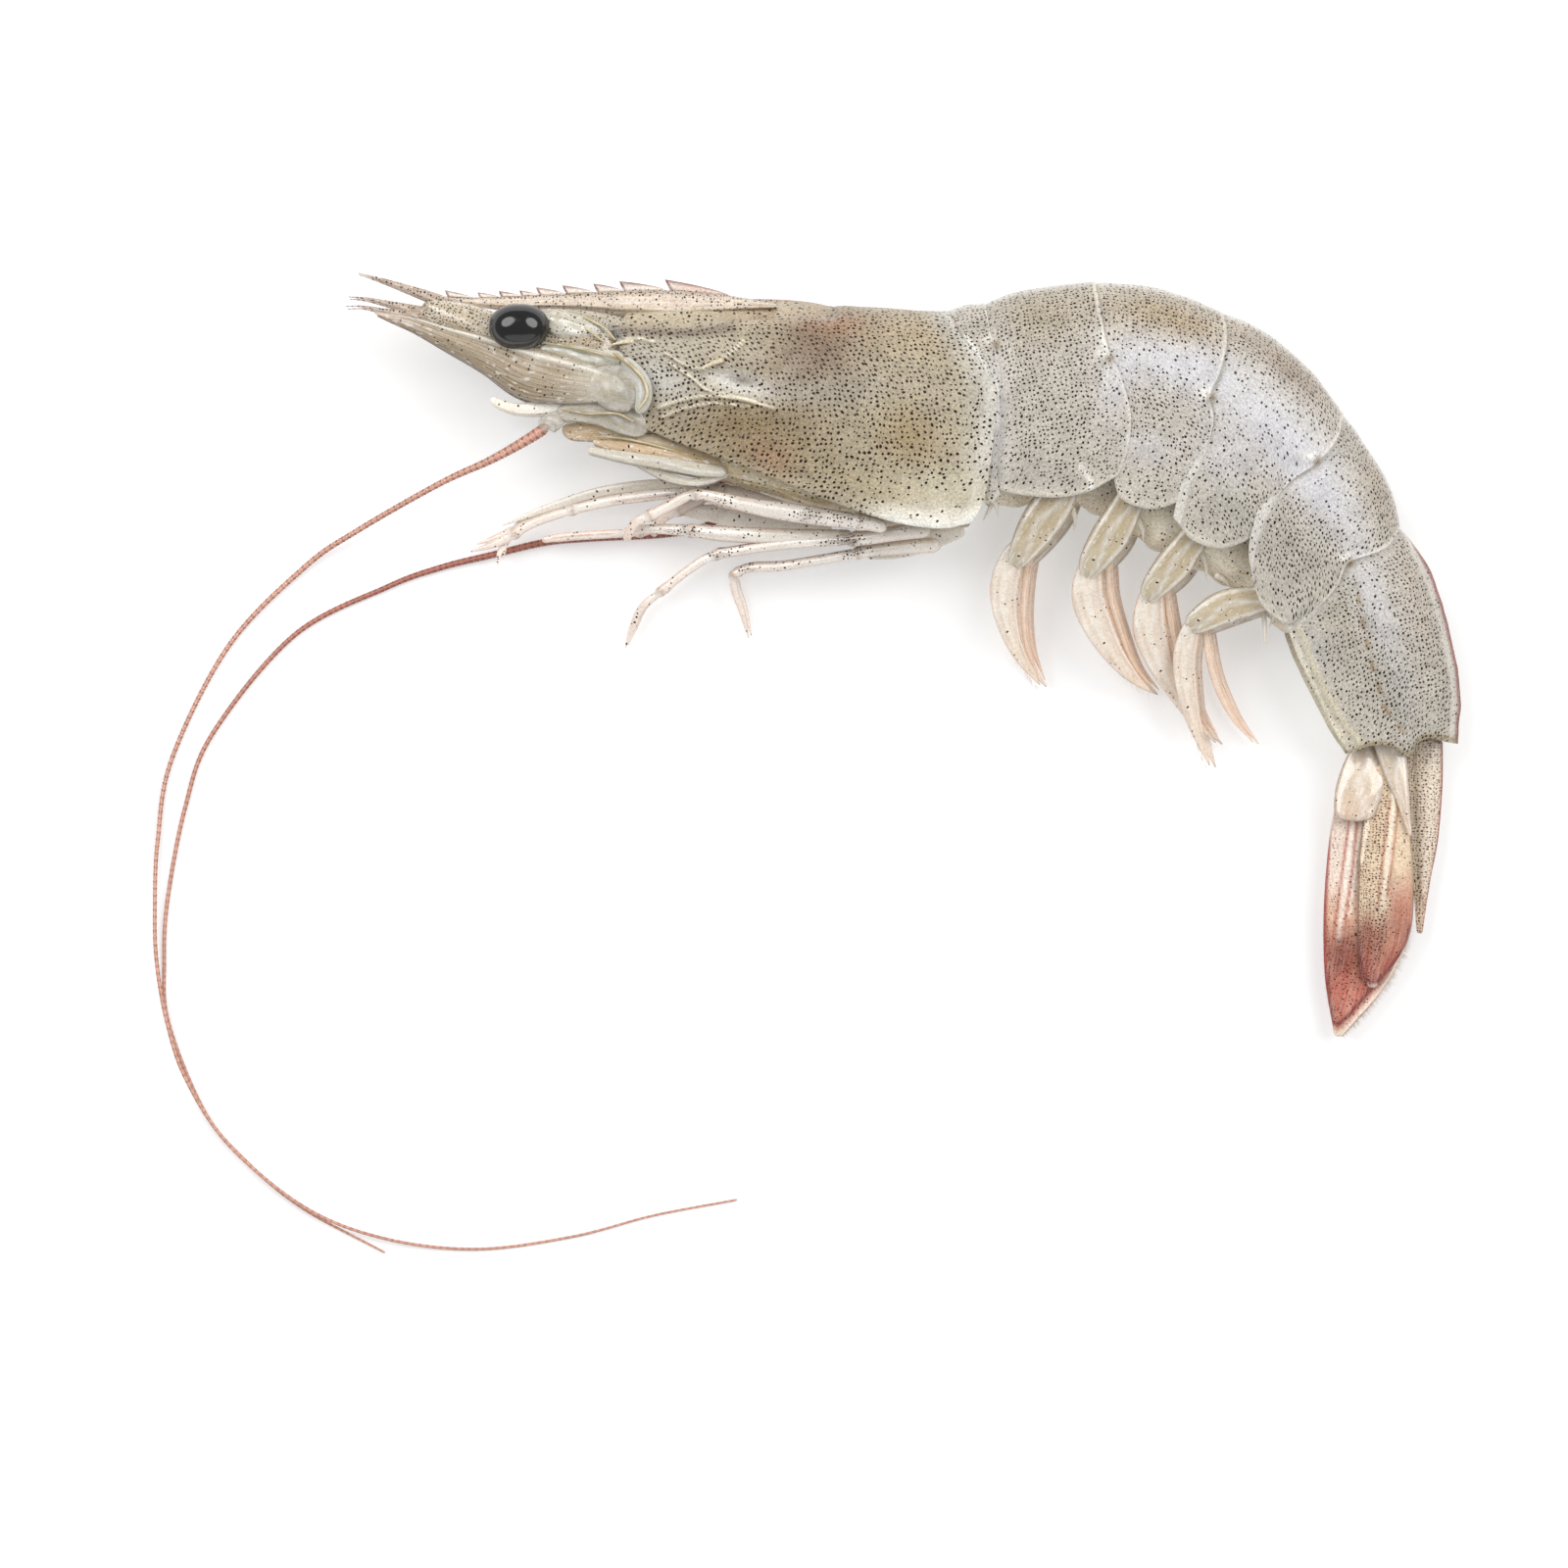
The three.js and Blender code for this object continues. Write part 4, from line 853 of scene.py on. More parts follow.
# Sheen along the flank: partly painted highlight of the soft light, partly the paler flesh below.
SHEEN_HIGHLIGHTS = [
    (12.7, 2.9, 7.4, 2.9, -12, 0.95), (23.6, -3.5, 9.0, 4.0, -38, 0.95), (29.4, -11, 6.5, 2.8, -52, 0.9),
    (35.8, -23.1, 8.5, 1.7, -70, 0.75), (-6.5, -3.3, 1.5, 6.4, 0, 0.8), (6.6, 0, 2.0, 4.0, -20, 0.7),
    (18.7, -7.7, 4.0, 3.0, -30, 0.6), (10.4, -6.4, 3.2, 2.2, -20, 0.6), (28.1, -28.6, 3.6, 1.6, -60, 0.4),
]
PALE_FOLDS = [
    [[-9.9, 6], [-8.1, 3.1], [-6.6, -0.2], [-6.7, -4]], [[5.2, 6], [5.8, 3.5], [5.5, 0.6]],
    [[2.8, -8.6], [4.1, -10.6], [3.2, -12.7]],
]
RING_SHADE = 0.19
GREY_FLAPS = [
    (-1.4, -9.3, 5.5, 2.0, 0, "#b1aca2", 0.7), (19.8, -13.8, 5.0, 3.0, -20, "#b1aca2", 0.7),
    (25.9, -19.8, 4.0, 4.0, 0, "#b1aca2", 0.7), (30.2, -29.1, 5.0, 2.2, -60, "#b1aca2", 0.7),
    (38.5, -31.9, 8.0, 2.0, -76, "#b1aca2", 0.7),
]


def ring_relief(xy, u, t):
    """A sunk front facet, a bead at the rear edge, joint knobs, and slow dents like those of thin shell."""
    facet = bell(u, 0.12, 0.04) * ramp(t, 0.04, 0.2)
    bead = bell(u, 1.03, 0.01)
    knobs = sum(spot(xy, x, y, 0.55, 0.55) - 0.6 * spot(xy, x + 0.8, y - 0.4, 0.6, 0.8) for x, y in KNOBS)
    rim = bell(t, 0.985, 0.012)
    waves = np.sin(xy[..., 0] * 0.9 + 1.7 * np.sin(xy[..., 1] * 0.7)) * np.cos(xy[..., 1] * 0.8 + 1)
    small = np.sin(xy[..., 0] * 2.1 + 1.3 * np.sin(xy[..., 1] * 1.9)) * np.sin(xy[..., 1] * 2.3 + 0.7)
    return 0.05 * bead - 0.08 * facet + 0.28 * knobs + 0.08 * rim + 0.06 * waves + 0.02 * small


def ring_paint(xy, u, t):
    """Cool grey beige with tan patches near the back and brown joint marks.

    A pale sheen along the flank is partly painted highlight and partly the paler flesh below. Small
    painted highlights sit beside the knobs, and a thin line of painted shade lies at the front seam.
    """
    sheen_highlight = sum(share * spot(xy, *oval) for *oval, share in SHEEN_HIGHLIGHTS)
    sheen_highlight = np.clip(sheen_highlight, 0, 1)
    back = 1 - ramp(t, 0.005, 0.035)
    facet = 1 - ramp(u, 0.03, 0.08)
    edge = ramp(u, 1.005, 1.025)
    # A thin line of painted shade at the front, where the ring slides under the one before.
    seam_shade = bell(u, 0.04, 0.02)
    marks = sum(spot(xy, x + 0.45, y - 0.3, 0.6, 0.45, 60) for x, y in KNOBS)
    # Small spots of painted highlight beside the joint knobs.
    joint_highlight = sum(spot(xy, x - 0.4, y + 0.3, 0.7, 0.4) for x, y in KNOBS)
    tint = painted(
        xy.shape[:2], "#c6beb1",
        *patches(xy, GREY_FLAPS),
        *patches(xy, TAN_PATCHES),
        (0.95 * sheen_highlight, "#c3c1c4"),
        (0.6 * back, "#cfccc6"),
        (0.6 * facet, "#cdcac5"),
        (0.45 * seam_shade, "#8d8474"),
        (0.4 * edge, "#dcd8cf"),
        (0.45 * ramp(t, 0.975, 0.99), "#dfd9cb"),
        (0.7 * sum(near(xy, line, 0.3) for line in PALE_FOLDS), "#f1efe9"),
        (0.8 * joint_highlight, "#f3efe4"),
        (0.95 * marks, "#6f5526"),
    )
    amount = (1 - 0.82 * sheen_highlight) * (1 - 0.8 * back) * (1 - 0.7 * facet) * (1 - 0.8 * edge)
    amount = amount * (1 - ramp(t, 0.975, 0.99)) * (1 - 0.35 * ramp(t, 0.6, 0.9))
    return tint * (1 - RING_SHADE * amount[..., None]), amount


for number in range(5):
    name = f"abdomen_{number + 1}"
    steps = 60 if number == 0 else 84
    shell_piece(name, rings[number], steps, 121, ring_relief, ring_paint, abdomen_shell)
print("five rings made")

# %% Last ring
LOWER_RIDGES = [
    ([[26.2, -27.5], [28.3, -31.9], [30.5, -36.3], [32.7, -39.3]], 0.3, 0.35),
    ([[27.5, -26.7], [29.7, -31.9], [32.2, -36.6], [34.4, -39.3]], 0.25, 0.22),
]
SEAM_DASHES = [[33.9, -22], [34.5, -25.5], [35.4, -29.6], [36.3, -32.6], [37.1, -35.4], [39.3, -38.3]]


def last_ring_relief(xy, u, t):
    """The common relief, a sharp keel along the back and two ridges along the lower edge."""
    keel = bell(t, 0, 0.0025) * ramp(u, 0.02, 0.25)
    trough = bell(t, 0.1, 0.04) * ramp(u, 0.05, 0.3)
    ridges = raised(xy, LOWER_RIDGES)
    crease = near(xy, SEAM_DASHES, 0.4)
    lobe = spot(xy, 39, -39, 1.4, 2.2, 10)
    return ring_relief(xy, u, t) + 0.55 * keel - 0.1 * trough + ridges - 0.2 * crease + 0.35 * lobe


def last_ring_paint(xy, u, t):
    """The common colours with a dark red keel, brown dashes on the crease and pale lower ridges."""
    tint, amount = ring_paint(xy, u, t)
    ridges = on_any(xy, [line for line, _, _ in LOWER_RIDGES], 0.5)
    keel = (1 - ramp(t, 0.001, 0.004)) * ramp(u, 0.03, 0.15)
    beside = bell(t, 0.03, 0.012) * ramp(u, 0.05, 0.2)
    dashes = near(xy, SEAM_DASHES, 0.22) * (np.sin(xy[..., 1] * 2.6) > -0.2)
    hem = bell(u, 0.985, 0.012)
    tint = covered(tint, (0.8 * ridges, "#c9c0a6"), (0.7 * beside, "#cfc6bb"), (0.95 * keel, "#7c3527"),
                   (0.8 * dashes, "#8a6d3f"), (0.85 * hem, "#8a7748"))
    return tint, amount * (1 - ridges) * (1 - keel) * (1 - beside)


shell_piece("abdomen_6", rings[5], 110, 141, last_ring_relief, last_ring_paint, abdomen_shell)
print("last ring made")

# %% [markdown]
# ## Limbs
# Legs, feelers and blades are all one idea: an oval section carried along a curve, wide or narrow as
# the rows say, and rounded at both ends. The section is read by v, which runs from -1 on one edge to
# 1 on the other, so ribs and grooves can follow the limb. The same v guides the painted highlight
# streak on top.

# %% Limb surface
TABLE_GAP = 0.02
JOINT_WIDTH, JOINT_HIGHLIGHT_WIDTH = 0.007, 0.018
RIM_PLACE, RIM_WIDTH = 0.8, 0.08


def stations(length, rounding, steps, turns):
    """Shares of a limb's length, packed closely where its ends are rounded."""
    turn = 1 - np.cos(np.linspace(0.25, np.pi / 2, turns))
    first, last = rounding[0] * turn, length - rounding[1] * turn[::-1]
    return np.concatenate([first, np.linspace(first[-1], last[0], steps)[1:-1], last]) / length


def limb_grid(rows, steps, around, flat=0.7, depth=9.0, ends=(1.0, 1.0), turns=4):
    """An oval section carried along the rows: across by the half width and up by its flat share."""
    rows = np.asarray(rows, float)
    length = np.linalg.norm(np.diff(curve(rows, np.linspace(0, 1, 201)), axis=0), axis=1).sum()
    rounding = np.minimum(rows[[0, -1], 2] * ends, 0.45 * length)
    u = stations(length, rounding, steps, turns)[:, None]
    read = along(rows, u[:, 0])
    x, y, half, z = (read[:, k:k + 1] for k in range(4))
    dx, dy = np.gradient(x[:, 0])[:, None], np.gradient(y[:, 0])[:, None]
    size = np.maximum(np.hypot(dx, dy), 1e-9)
    from_ends = [np.clip(share * length / r, 0, 1) for share, r in zip((u, 1 - u), rounding)]
    taper = np.prod([np.sqrt(1 - (1 - d) ** 2) for d in from_ends], axis=0)
    turn = -np.pi / 2 + np.linspace(0, 2 * np.pi, around, endpoint=False)[None, :]
    v, top = np.cos(turn), np.sin(turn)
    out = half * taper * v
    aside = np.hstack([-dy, dx]) / size
    if rows.shape[1] > 4:
        aside = read[:, 4:] / np.linalg.norm(read[:, 4:], axis=1, keepdims=True)
    rise = np.minimum(flat * half, depth) * taper * top
    grid = np.dstack([x + aside[:, :1] * out, y + aside[:, 1:] * out, z + rise])
    tips = np.array([curve(rows, np.array(end))[[0, 1, 3]] for end in (0.0, 1.0)])
    return grid, tips, u, v, top, length


def blade_rows(left, right, heights, count=14):
    """Rows of a blade told by its two edges: middle, half width, height and the way across."""
    share = np.linspace(0, 1, count)
    first, second = along(left, share), along(right, share)
    span = second - first
    wide = np.linalg.norm(span, axis=1, keepdims=True)
    return np.column_stack([(first + second) / 2, wide / 2, between(heights, share), span / wide])


def limb_piece(name, rows, material, slot, paint, node=None, steps=40, around=20, relief=None, **shape):
    """A closed limb with painted colours: a grid closed round, and a fan of triangles at each end."""
    grid, tips, u, v, top, length = limb_grid(rows, steps, around, **shape)
    if relief:
        normal = surface_normals(grid)
        normal *= np.sign((normal * (grid - grid.mean(axis=1, keepdims=True))).sum())
        grid = grid + normal * relief(grid[..., :2], u, v, top)[..., None]
    grid[..., 2] = np.maximum(grid[..., 2], TABLE_GAP)
    tint, amount = paint(grid[..., :2], u, v, top)
    count = len(grid)
    girth = np.linalg.norm(grid - np.roll(grid, 1, 1), axis=-1).sum(1, keepdims=True)
    lap = np.linspace(-0.5, 0.5, around + 1)[None, :]
    place = np.dstack([u * length + 0 * lap, girth * lap]).reshape(-1, 2)
    place = np.vstack([place, [[0, 0], [length, 0]]])
    faces, spread = grid_faces(count, around, True), grid_faces(count, around + 1, False)
    pole, ring = count * around, np.arange(around)
    first = np.stack([(ring + 1) % around, ring, np.full(around, pole)], -1)
    final = (count - 1) * around + np.stack([ring, (ring + 1) % around, np.full(around, around + 1)], -1)
    row = around + 1
    first_place = np.stack([ring + 1, ring, np.full(around, count * row)], -1)
    final_place = (count - 1) * row + np.stack([ring, ring + 1, np.full(around, row + 1)], -1)
    points = np.vstack([grid.reshape(-1, 3), tips])
    tint = with_alpha(tint)
    tint = np.vstack([tint.reshape(-1, 4), tint[0].mean(0), tint[-1].mean(0)])
    amount = np.append(np.broadcast_to(amount, grid.shape[:2]).ravel(), [0, 0])[:, None]
    corner_places = [place[corners] for corners in (spread, first_place, final_place)]
    fields = {"tint": tint, "specks": amount}
    piece = put_mesh(name, points, [faces, first, final], corner_places, fields)
    return finish_piece(piece, material, node)


def limb_paint(base, tip, highlight_tone="#f6f2ea", edge="#b08d6c", top_highlight=0.45, rim=0.35, bands=(), specks=0.35,
               clusters=(), mark="#a07a50", veins=(), clear=0.0, clear_tip=0.0, rim_highlight=0.0, threads=0.0):
    """Colours along a limb: base to tip, warmer edges, marked joints, dark spots and painted highlights.

    The highlights are painted in a pale tone: a streak on top, thin lines near both edges and spots
    past the joints. The middle lets light through by the share called clear, and dark spots stay solid.
    """
    def paint(xy, u, v, top):
        shape = xy.shape[:2]
        joint = sum((bell(u, band, JOINT_WIDTH) for band in bands), 0 * u)
        # Spots of painted highlight just past each joint.
        joint_highlight = sum((bell(u - band, 0.02, JOINT_HIGHLIGHT_WIDTH) for band in bands), 0 * u)
        dark = sum((share * spot(xy, *place) for *place, share in clusters), np.zeros(shape))
        # A painted highlight streak wanders along the upper side, and thin lines of painted highlight run
        # near both edges.
        wander = 0.25 * np.sin(9 * u) + 0.1
        ridge = bell(v, wander, 0.13) * (top > 0)
        rim_highlight_mask = bell(abs(v), RIM_PLACE, RIM_WIDTH) * (top > -0.2)
        vein = np.zeros(shape)
        for a, b, at, share in veins:
            reach = ramp(u, a, a + 0.03) * (1 - ramp(u, b - 0.03, b))
            vein = vein + share * reach * bell(v, at, 0.12) * (top > 0)
        tint = painted(shape, base, (ramp(u, 0.4, 1.0), tip), (rim * abs(v) ** 8, edge),
                       (rim_highlight * rim_highlight_mask, highlight_tone), (top_highlight * ridge, highlight_tone), (0.5 * joint_highlight, highlight_tone), (0.6 * joint, mark),
                       (0.6 * dark, "#5a4332"), (vein, "#9c4a31"))
        combed = ramp(np.cos(19 * v + 2 * np.sin(3 * u) + 0.8 * np.sin(23 * u)), 0.5, 1.0)
        tint = tint * (1 - threads * combed[..., None]) + colour(edge) * threads * combed[..., None]
        alpha = 1 - clear * (1 - 0.7 * abs(v) ** 4) - clear_tip * ramp(u, 0.6, 1.0) + dark
        tint = np.dstack([tint, np.broadcast_to(np.clip(alpha, 0.15, 1), shape)])
        return tint, np.clip(specks * (1 - 0.6 * ridge) + dark, 0, 1)
    return paint


print("limb surfaces are ready")

# %% [markdown]
# ## Hairs
# Blades and legs end in fringes of fine hairs. One hair is a cone of three sides with a bend in the
# middle. All hairs of a fringe are built in one mesh by the same whole-array sums, because a scene
# with hundreds of separate objects would be slow.

# %% Fringes
ROOT_HEIGHT = 0.05
rng = np.random.default_rng(7)


def fringe(name, roots, directions, lengths, width, codes, droop=0.15):
    """Three-sided cones from the roots: two rings of three points and a tip, bent to the table."""
    roots, directions = np.asarray(roots, float), np.asarray(directions, float)
    count = len(roots)
    directions = directions / np.linalg.norm(directions, axis=1, keepdims=True)
    aside = np.stack([-directions[:, 1], directions[:, 0], np.zeros(count)], -1)
    lift = np.cross(directions, aside)
    reach = np.asarray(lengths, float)[:, None]
    middle = roots + directions * reach * 0.55
    tips = roots + directions * reach - [0, 0, 1] * reach * droop
    angles = 2 * np.pi * np.arange(3) / 3
    around = aside[:, None] * np.cos(angles)[:, None] + lift[:, None] * np.sin(angles)[:, None]
    rings = [roots[:, None] + width * around, middle[:, None] + 0.6 * width * around]
    points = np.concatenate([*rings, tips[:, None]], 1)
    points[..., 2] = np.maximum(points[..., 2], TABLE_GAP)
    sides = np.array([[k, (k + 1) % 3, 3 + (k + 1) % 3, 3 + k] for k in range(3)])
    caps = np.array([[3, 4, 6], [4, 5, 6], [5, 3, 6], [2, 1, 0]])
    offset = 7 * np.arange(count)[:, None, None]
    face_sets = [(sides + offset).reshape(-1, 4), (caps + offset).reshape(-1, 3)]
    share = np.array([0, 0, 0, 0.5, 0.5, 0.5, 1])
    tint = painted((count, 7), codes[0], (np.broadcast_to(share, (count, 7)), codes[1]))
    fields = {"tint": with_alpha(tint.reshape(-1, 3)), "specks": np.zeros((7 * count, 1))}
    flat = points.reshape(-1, 3)
    piece = put_mesh(name, flat, face_sets, [flat[faces][..., :2] for faces in face_sets], fields)
    return finish_piece(piece, bristle)


def edge_hairs(name, line, height, lengths, gap, heading, codes, width=0.035, spread=0.25):
    """Hairs set along a line in the side view, all leaning the same way with a little disorder."""
    length = np.linalg.norm(np.diff(along(line, np.linspace(0, 1, 80)), axis=0), axis=1).sum()
    share = np.sort(rng.uniform(0, 1, int(length / gap)))
    xy = along(line, share)
    angle = np.radians(between(heading, share)) + rng.normal(0, spread, len(share))
    z = np.full(len(share), float(height)) + rng.normal(0, 0.1, len(share))
    roots = np.column_stack([xy, np.maximum(z, ROOT_HEIGHT)])
    directions = np.column_stack([np.cos(angle), np.sin(angle), rng.normal(0, 0.12, len(share))])
    reach = between(lengths, share) * rng.uniform(0.6, 1.1, len(share))
    return fringe(name, roots, directions, reach, width, codes)


print("fringes are ready")

# %% [markdown]
# ## Eyes and stalks
# The eye is a black polished oval that sits in a glassy cup at the end of a short stalk. Between the
# stalk and the saddle lies clear flesh with silver and blue-grey streaks.

# %% Eyes, cups and stalks
SIDES = [("left", 1), ("right", -1)]
BALL_CENTRE = (-59.8, 7.1)
EYE_RADII = (3.45, 2.55, 2.8)
CUP = [[-57.5, 8.6, 0.8, 3.4], [-56.4, 7.9, 1.3, 3.6], [-55, 7.3, 1.6, 3.4], [-53.1, 6.8, 1.5, 2.8],
       [-50.9, 6.3, 1.4, 2.0], [-48.5, 5.6, 1.2, 1.4]]


def height_rows(rows, heights, shift=(0, 0)):
    """Adds heights read evenly along the rows, and moves the rows a little if asked."""
    rows = np.array(rows, float)
    z = between(heights, np.linspace(0, 1, len(rows)))
    return np.column_stack([rows[:, :2] + shift, rows[:, 2], z])


def beside_middle(rows, sign, outs, shift=(0, 0)):
    """Rows set to one side of the middle plane by distances read evenly along them."""
    return height_rows(rows, [MID + sign * out for out in outs], shift)


def stalk_relief(xy, u, v, top):
    """Low waves, as of soft flesh."""
    return 0.12 * np.sin(9 * v + 4 * u) * np.sin(11 * u)


def eye_paint(xy, u, v, top):
    """One near-black colour without specks."""
    return painted(xy.shape[:2], "#101011"), np.zeros(xy.shape[:2])


def stalk_paint(xy, u, v, top):
    """Greenish glass with silver, a blue-grey patch near the saddle and brown specks."""
    streaks = 0.5 + 0.5 * np.sin(7 * v + 5 * u)
    tint = painted(xy.shape[:2], "#b4ab97", (0.5 * streaks, "#d3d0c2"),
                   (0.8 * spot(xy, -49.8, 6.4, 1.6, 0.9, -20), "#565c63"),
                   (0.6 * spot(xy, -54.1, 6.4, 1.2, 0.9), "#e6e5da"), (0.4 * abs(v) ** 3, "#8f8571"))
    return tint, 0.4 * np.ones(xy.shape[:2])


for side, sign in SIDES:
    z = MID + sign * 4.3
    ex, ey = BALL_CENTRE
    long, tall, wide = EYE_RADII
    ball = [[ex - long, ey, tall, z], [ex, ey, tall, z], [ex + long, ey, tall, z]]
    limb_piece(f"eye_{side}_ball", ball, eye_black, "eye", eye_paint, f"eye_{side}", steps=8, around=48,
               flat=wide / tall, ends=(long / tall, long / tall), turns=20)
    cup = [[x, y, half, MID + sign * out] for x, y, half, out in CUP]
    limb_piece(f"eyestalk_{side}_flesh", cup, head_glass, "head_parts", stalk_paint, f"eyestalk_{side}",
               steps=44, around=28, flat=0.85, relief=stalk_relief)
print("eyes are in place")

# %% [markdown]
# ## Feelers at the front
# In front of the eyes lie two pairs of antennules, each with a speckled stem and two short pointed
# whips. Below them a long pointed scale covers the side of the head; fine ribs run along it to the
# tip, its upper edge is a thick pale rib, and its lower part is olive grey.

# %% Antennules and antennal scales
STEM = [[-48.7, 4.2, 1.9], [-54.5, 5.3, 2.1], [-61, 6, 2.2], [-65.5, 7.7, 1.9], [-68.8, 8.9, 1.4],
        [-70.7, 9.7, 0.8]]
WHIPS = [
    ([[-65.9, 9.1, 0.75], [-69.8, 10.6, 0.62], [-73.2, 11.8, 0.4], [-75.9, 12.7, 0.2], [-78, 13.3, 0.05]],
     1.1),
    ([[-68.8, 8.7, 0.55], [-71.5, 9.2, 0.5], [-74.2, 9.8, 0.34], [-77, 10.4, 0.16], [-79, 10.6, 0.05]],
     1.5),
    ([[-69.8, 8.4, 0.5], [-72.6, 8.8, 0.42], [-74.8, 9, 0.28], [-77.3, 9.5, 0.12], [-79.3, 9.5, 0.05]],
     1.9),
]
SCALE = [[-48.2, 0.2, 1.2], [-52.2, 0.7, 2.2], [-56.6, 1.4, 2.9], [-59.4, 2.2, 2.9], [-63.2, 4, 2.1],
         [-67.7, 5.8, 1.35], [-71.5, 7.4, 0.8], [-74.2, 8.2, 0.4], [-76, 8.7, 0.08]]


def stem_paint(xy, u, v, top):
    """Brownish beige with dense specks, a pale outline and a clear lump near the end."""
    tint = painted(xy.shape[:2], "#a8977c", (0.5 * ramp(u, 0.5, 0.9), "#bfae93"),
                   (0.75 * abs(v) ** 5, "#ddd3bd"), (0.6 * bell(v, 0.3, 0.12), "#d3c9b2"),
                   (0.6 * spot(xy, -69.1, 8.7, 1.2, 0.7), "#e0d8c6"))
    return tint, 0.9 * np.ones(xy.shape[:2])


def scale_relief(xy, u, v, top):
    """Ribs that run to the tip, and a thick rib along the upper edge."""
    ribs = sum(bell(v, place, 0.04) for place in (0.55, 0.3, 0.05, -0.2, -0.42))
    fine = np.cos(60 * v)
    return (0.12 * ribs + 0.22 * bell(v, -0.72, 0.1) + 0.03 * fine) * (top > 0) * ramp(1 - u, 0.02, 0.2)


def scale_paint(xy, u, v, top):
    """Beige with a whitish upper rib, dark lines beside it, and an olive lower part with a dark edge."""
    up = -v
    lines = 0.5 + 0.5 * np.cos(44 * v + 0.6 * np.sin(8 * u))
    tint = painted(
        xy.shape[:2], "#968367", (ramp(-up, -0.1, 0.5) * 0.85, "#6c5835"), (0.25 * lines, "#d8cab4"),
        (0.9 * bell(up, 0.72, 0.1), "#ece6da"), (0.85 * bell(up, 0.52, 0.035), "#6a5c46"),
        (0.6 * bell(up, 0.93, 0.05), "#857962"), (0.6 * bell(up, 0.2, 0.03), "#8f806a"),
        (0.85 * ramp(-up, 0.86, 0.96), "#6e6252"), (0.45 * ramp(u, 0.7, 1.0), "#b08f7c"),
        (0.5 * (1 - ramp(u, 0.05, 0.3)), "#d0ccbd"),
    )
    return tint, 0.12 * np.ones(xy.shape[:2])


whip_paint = limb_paint("#c4ac96", "#b89682", top_highlight=0.4, rim=0.7, edge="#7c5a45", specks=0.4, clear=0.25,
                        clear_tip=0.35)
for side, sign in SIDES:
    drop = 0 if sign > 0 else -0.08
    limb_piece(f"antennule_{side}_stem", beside_middle(STEM, sign, (2.6, 1.4)), head_glass,
               "head_parts", stem_paint, f"antennule_{side}", steps=60, around=24, flat=0.75,
               relief=lambda xy, u, v, top: 0.1 * np.sin(5 * v + 9 * u) * (top > 0))
    for number, (rows, out) in enumerate(WHIPS, 1):
        rows = beside_middle(rows, sign, (1.4, out), (0, drop))
        limb_piece(f"antennule_{side}_whip_{number}", rows, pale_limb, "head_parts", whip_paint,
                   steps=60, around=10, flat=0.8, ends=(1.0, 1.0))
    limb_piece(f"antenna_scale_{side}_blade", beside_middle(SCALE, sign, (4.9, 3.0)), head_glass,
               "head_parts", scale_paint, f"antenna_scale_{side}", steps=120, around=72, flat=0.3,
               depth=0.5, relief=scale_relief)
print("feelers are in place")

# %% [markdown]
# ## Antenna bases and mouth
# Behind the scale sit clear swollen joints that carry the long antenna. Below them the mouth parts
# fold against each other: a pale curved palp, a tan wedge, a round rod and a blade bent like a V.

# %% Antenna bases and mouth parts
# In these paints the pale highlight tone, laid on top, near the edges and past the joints, is painted
# highlight.
lump_glass = limb_paint("#e4e2d8", "#dddacc", highlight_tone="#ffffff", edge="#5f5540", top_highlight=0.9, rim=0.8,
                        specks=0.02, rim_highlight=0.7, clear=0.4, threads=0.15)
brow_paint = limb_paint("#b3a78f", "#a79b84", highlight_tone="#e6e1d6", edge="#4f4638", top_highlight=0.7, rim=0.9,
                        specks=0.5, rim_highlight=0.5, clusters=((-49.8, 6.8, 1.4, 0.7, -20, 0.8),), threads=0.3)
cheek_paint = limb_paint("#b3ad98", "#bab6a8", highlight_tone="#fbfbf8", edge="#565140", top_highlight=0.9, rim=0.8,
                         specks=0.04, rim_highlight=0.7, threads=0.35)
glass_paint = limb_paint("#c4bba6", "#cbc0aa", highlight_tone="#ffffff", edge="#6a5d44", top_highlight=0.7, rim=0.7,
                         specks=0.03, rim_highlight=0.7, clear=0.5, threads=0.35)
palp_paint = limb_paint("#fbf5ea", "#fdf0dd", highlight_tone="#ffffff", edge="#a58d68", top_highlight=0.6, rim=0.6,
                        specks=0.05, rim_highlight=0.6, clear=0.1, threads=0.1)
rod_paint = limb_paint("#d8cfba", "#ded5c1", highlight_tone="#ffffff", edge="#75642f", top_highlight=0.9, rim=0.8,
                       specks=0.03, rim_highlight=0.6, clear=0.3)
tan_paint = limb_paint("#bb9c74", "#c6a983", highlight_tone="#eadcc2", edge="#8a774f", top_highlight=0.4, rim=0.6,
                       specks=0.05, rim_highlight=0.4, threads=0.35)
flap_paint = limb_paint("#bca682", "#c9b593", highlight_tone="#e8dcc4", edge="#83724f", top_highlight=0.4, rim=0.6,
                        specks=0.05, rim_highlight=0.5, clear=0.2, threads=0.35)

LUMP = [[-48.3, 3.5, 0.6], [-47, 2.3, 0.85], [-46, 0.7, 1.0], [-45.9, -1.1, 0.95], [-46.5, -2.6, 0.6]]
LOBE = [[-45.6, -0.4, 1.6], [-47, 0, 2.5], [-49, 0.3, 2.7], [-50.9, 0.8, 2.0], [-52.2, 1, 1.0]]
LOWER_LUMP = [[-45.4, -4.4, 1.2], [-47.9, -3.3, 1.7], [-50.6, -2.4, 1.6], [-53.4, -2.3, 1.2],
              [-55.5, -2.6, 0.8]]
BROW = [[-58, 8.8, 0.4], [-55, 8.5, 0.8], [-51.7, 7.9, 1.1], [-49, 7.2, 1.3], [-46.2, 6.4, 1.1]]
CHEEK = [[-57.5, 4.6, 0.5], [-54.5, 4.2, 1.0], [-50.9, 3.5, 1.3], [-47.6, 2.9, 1.5]]
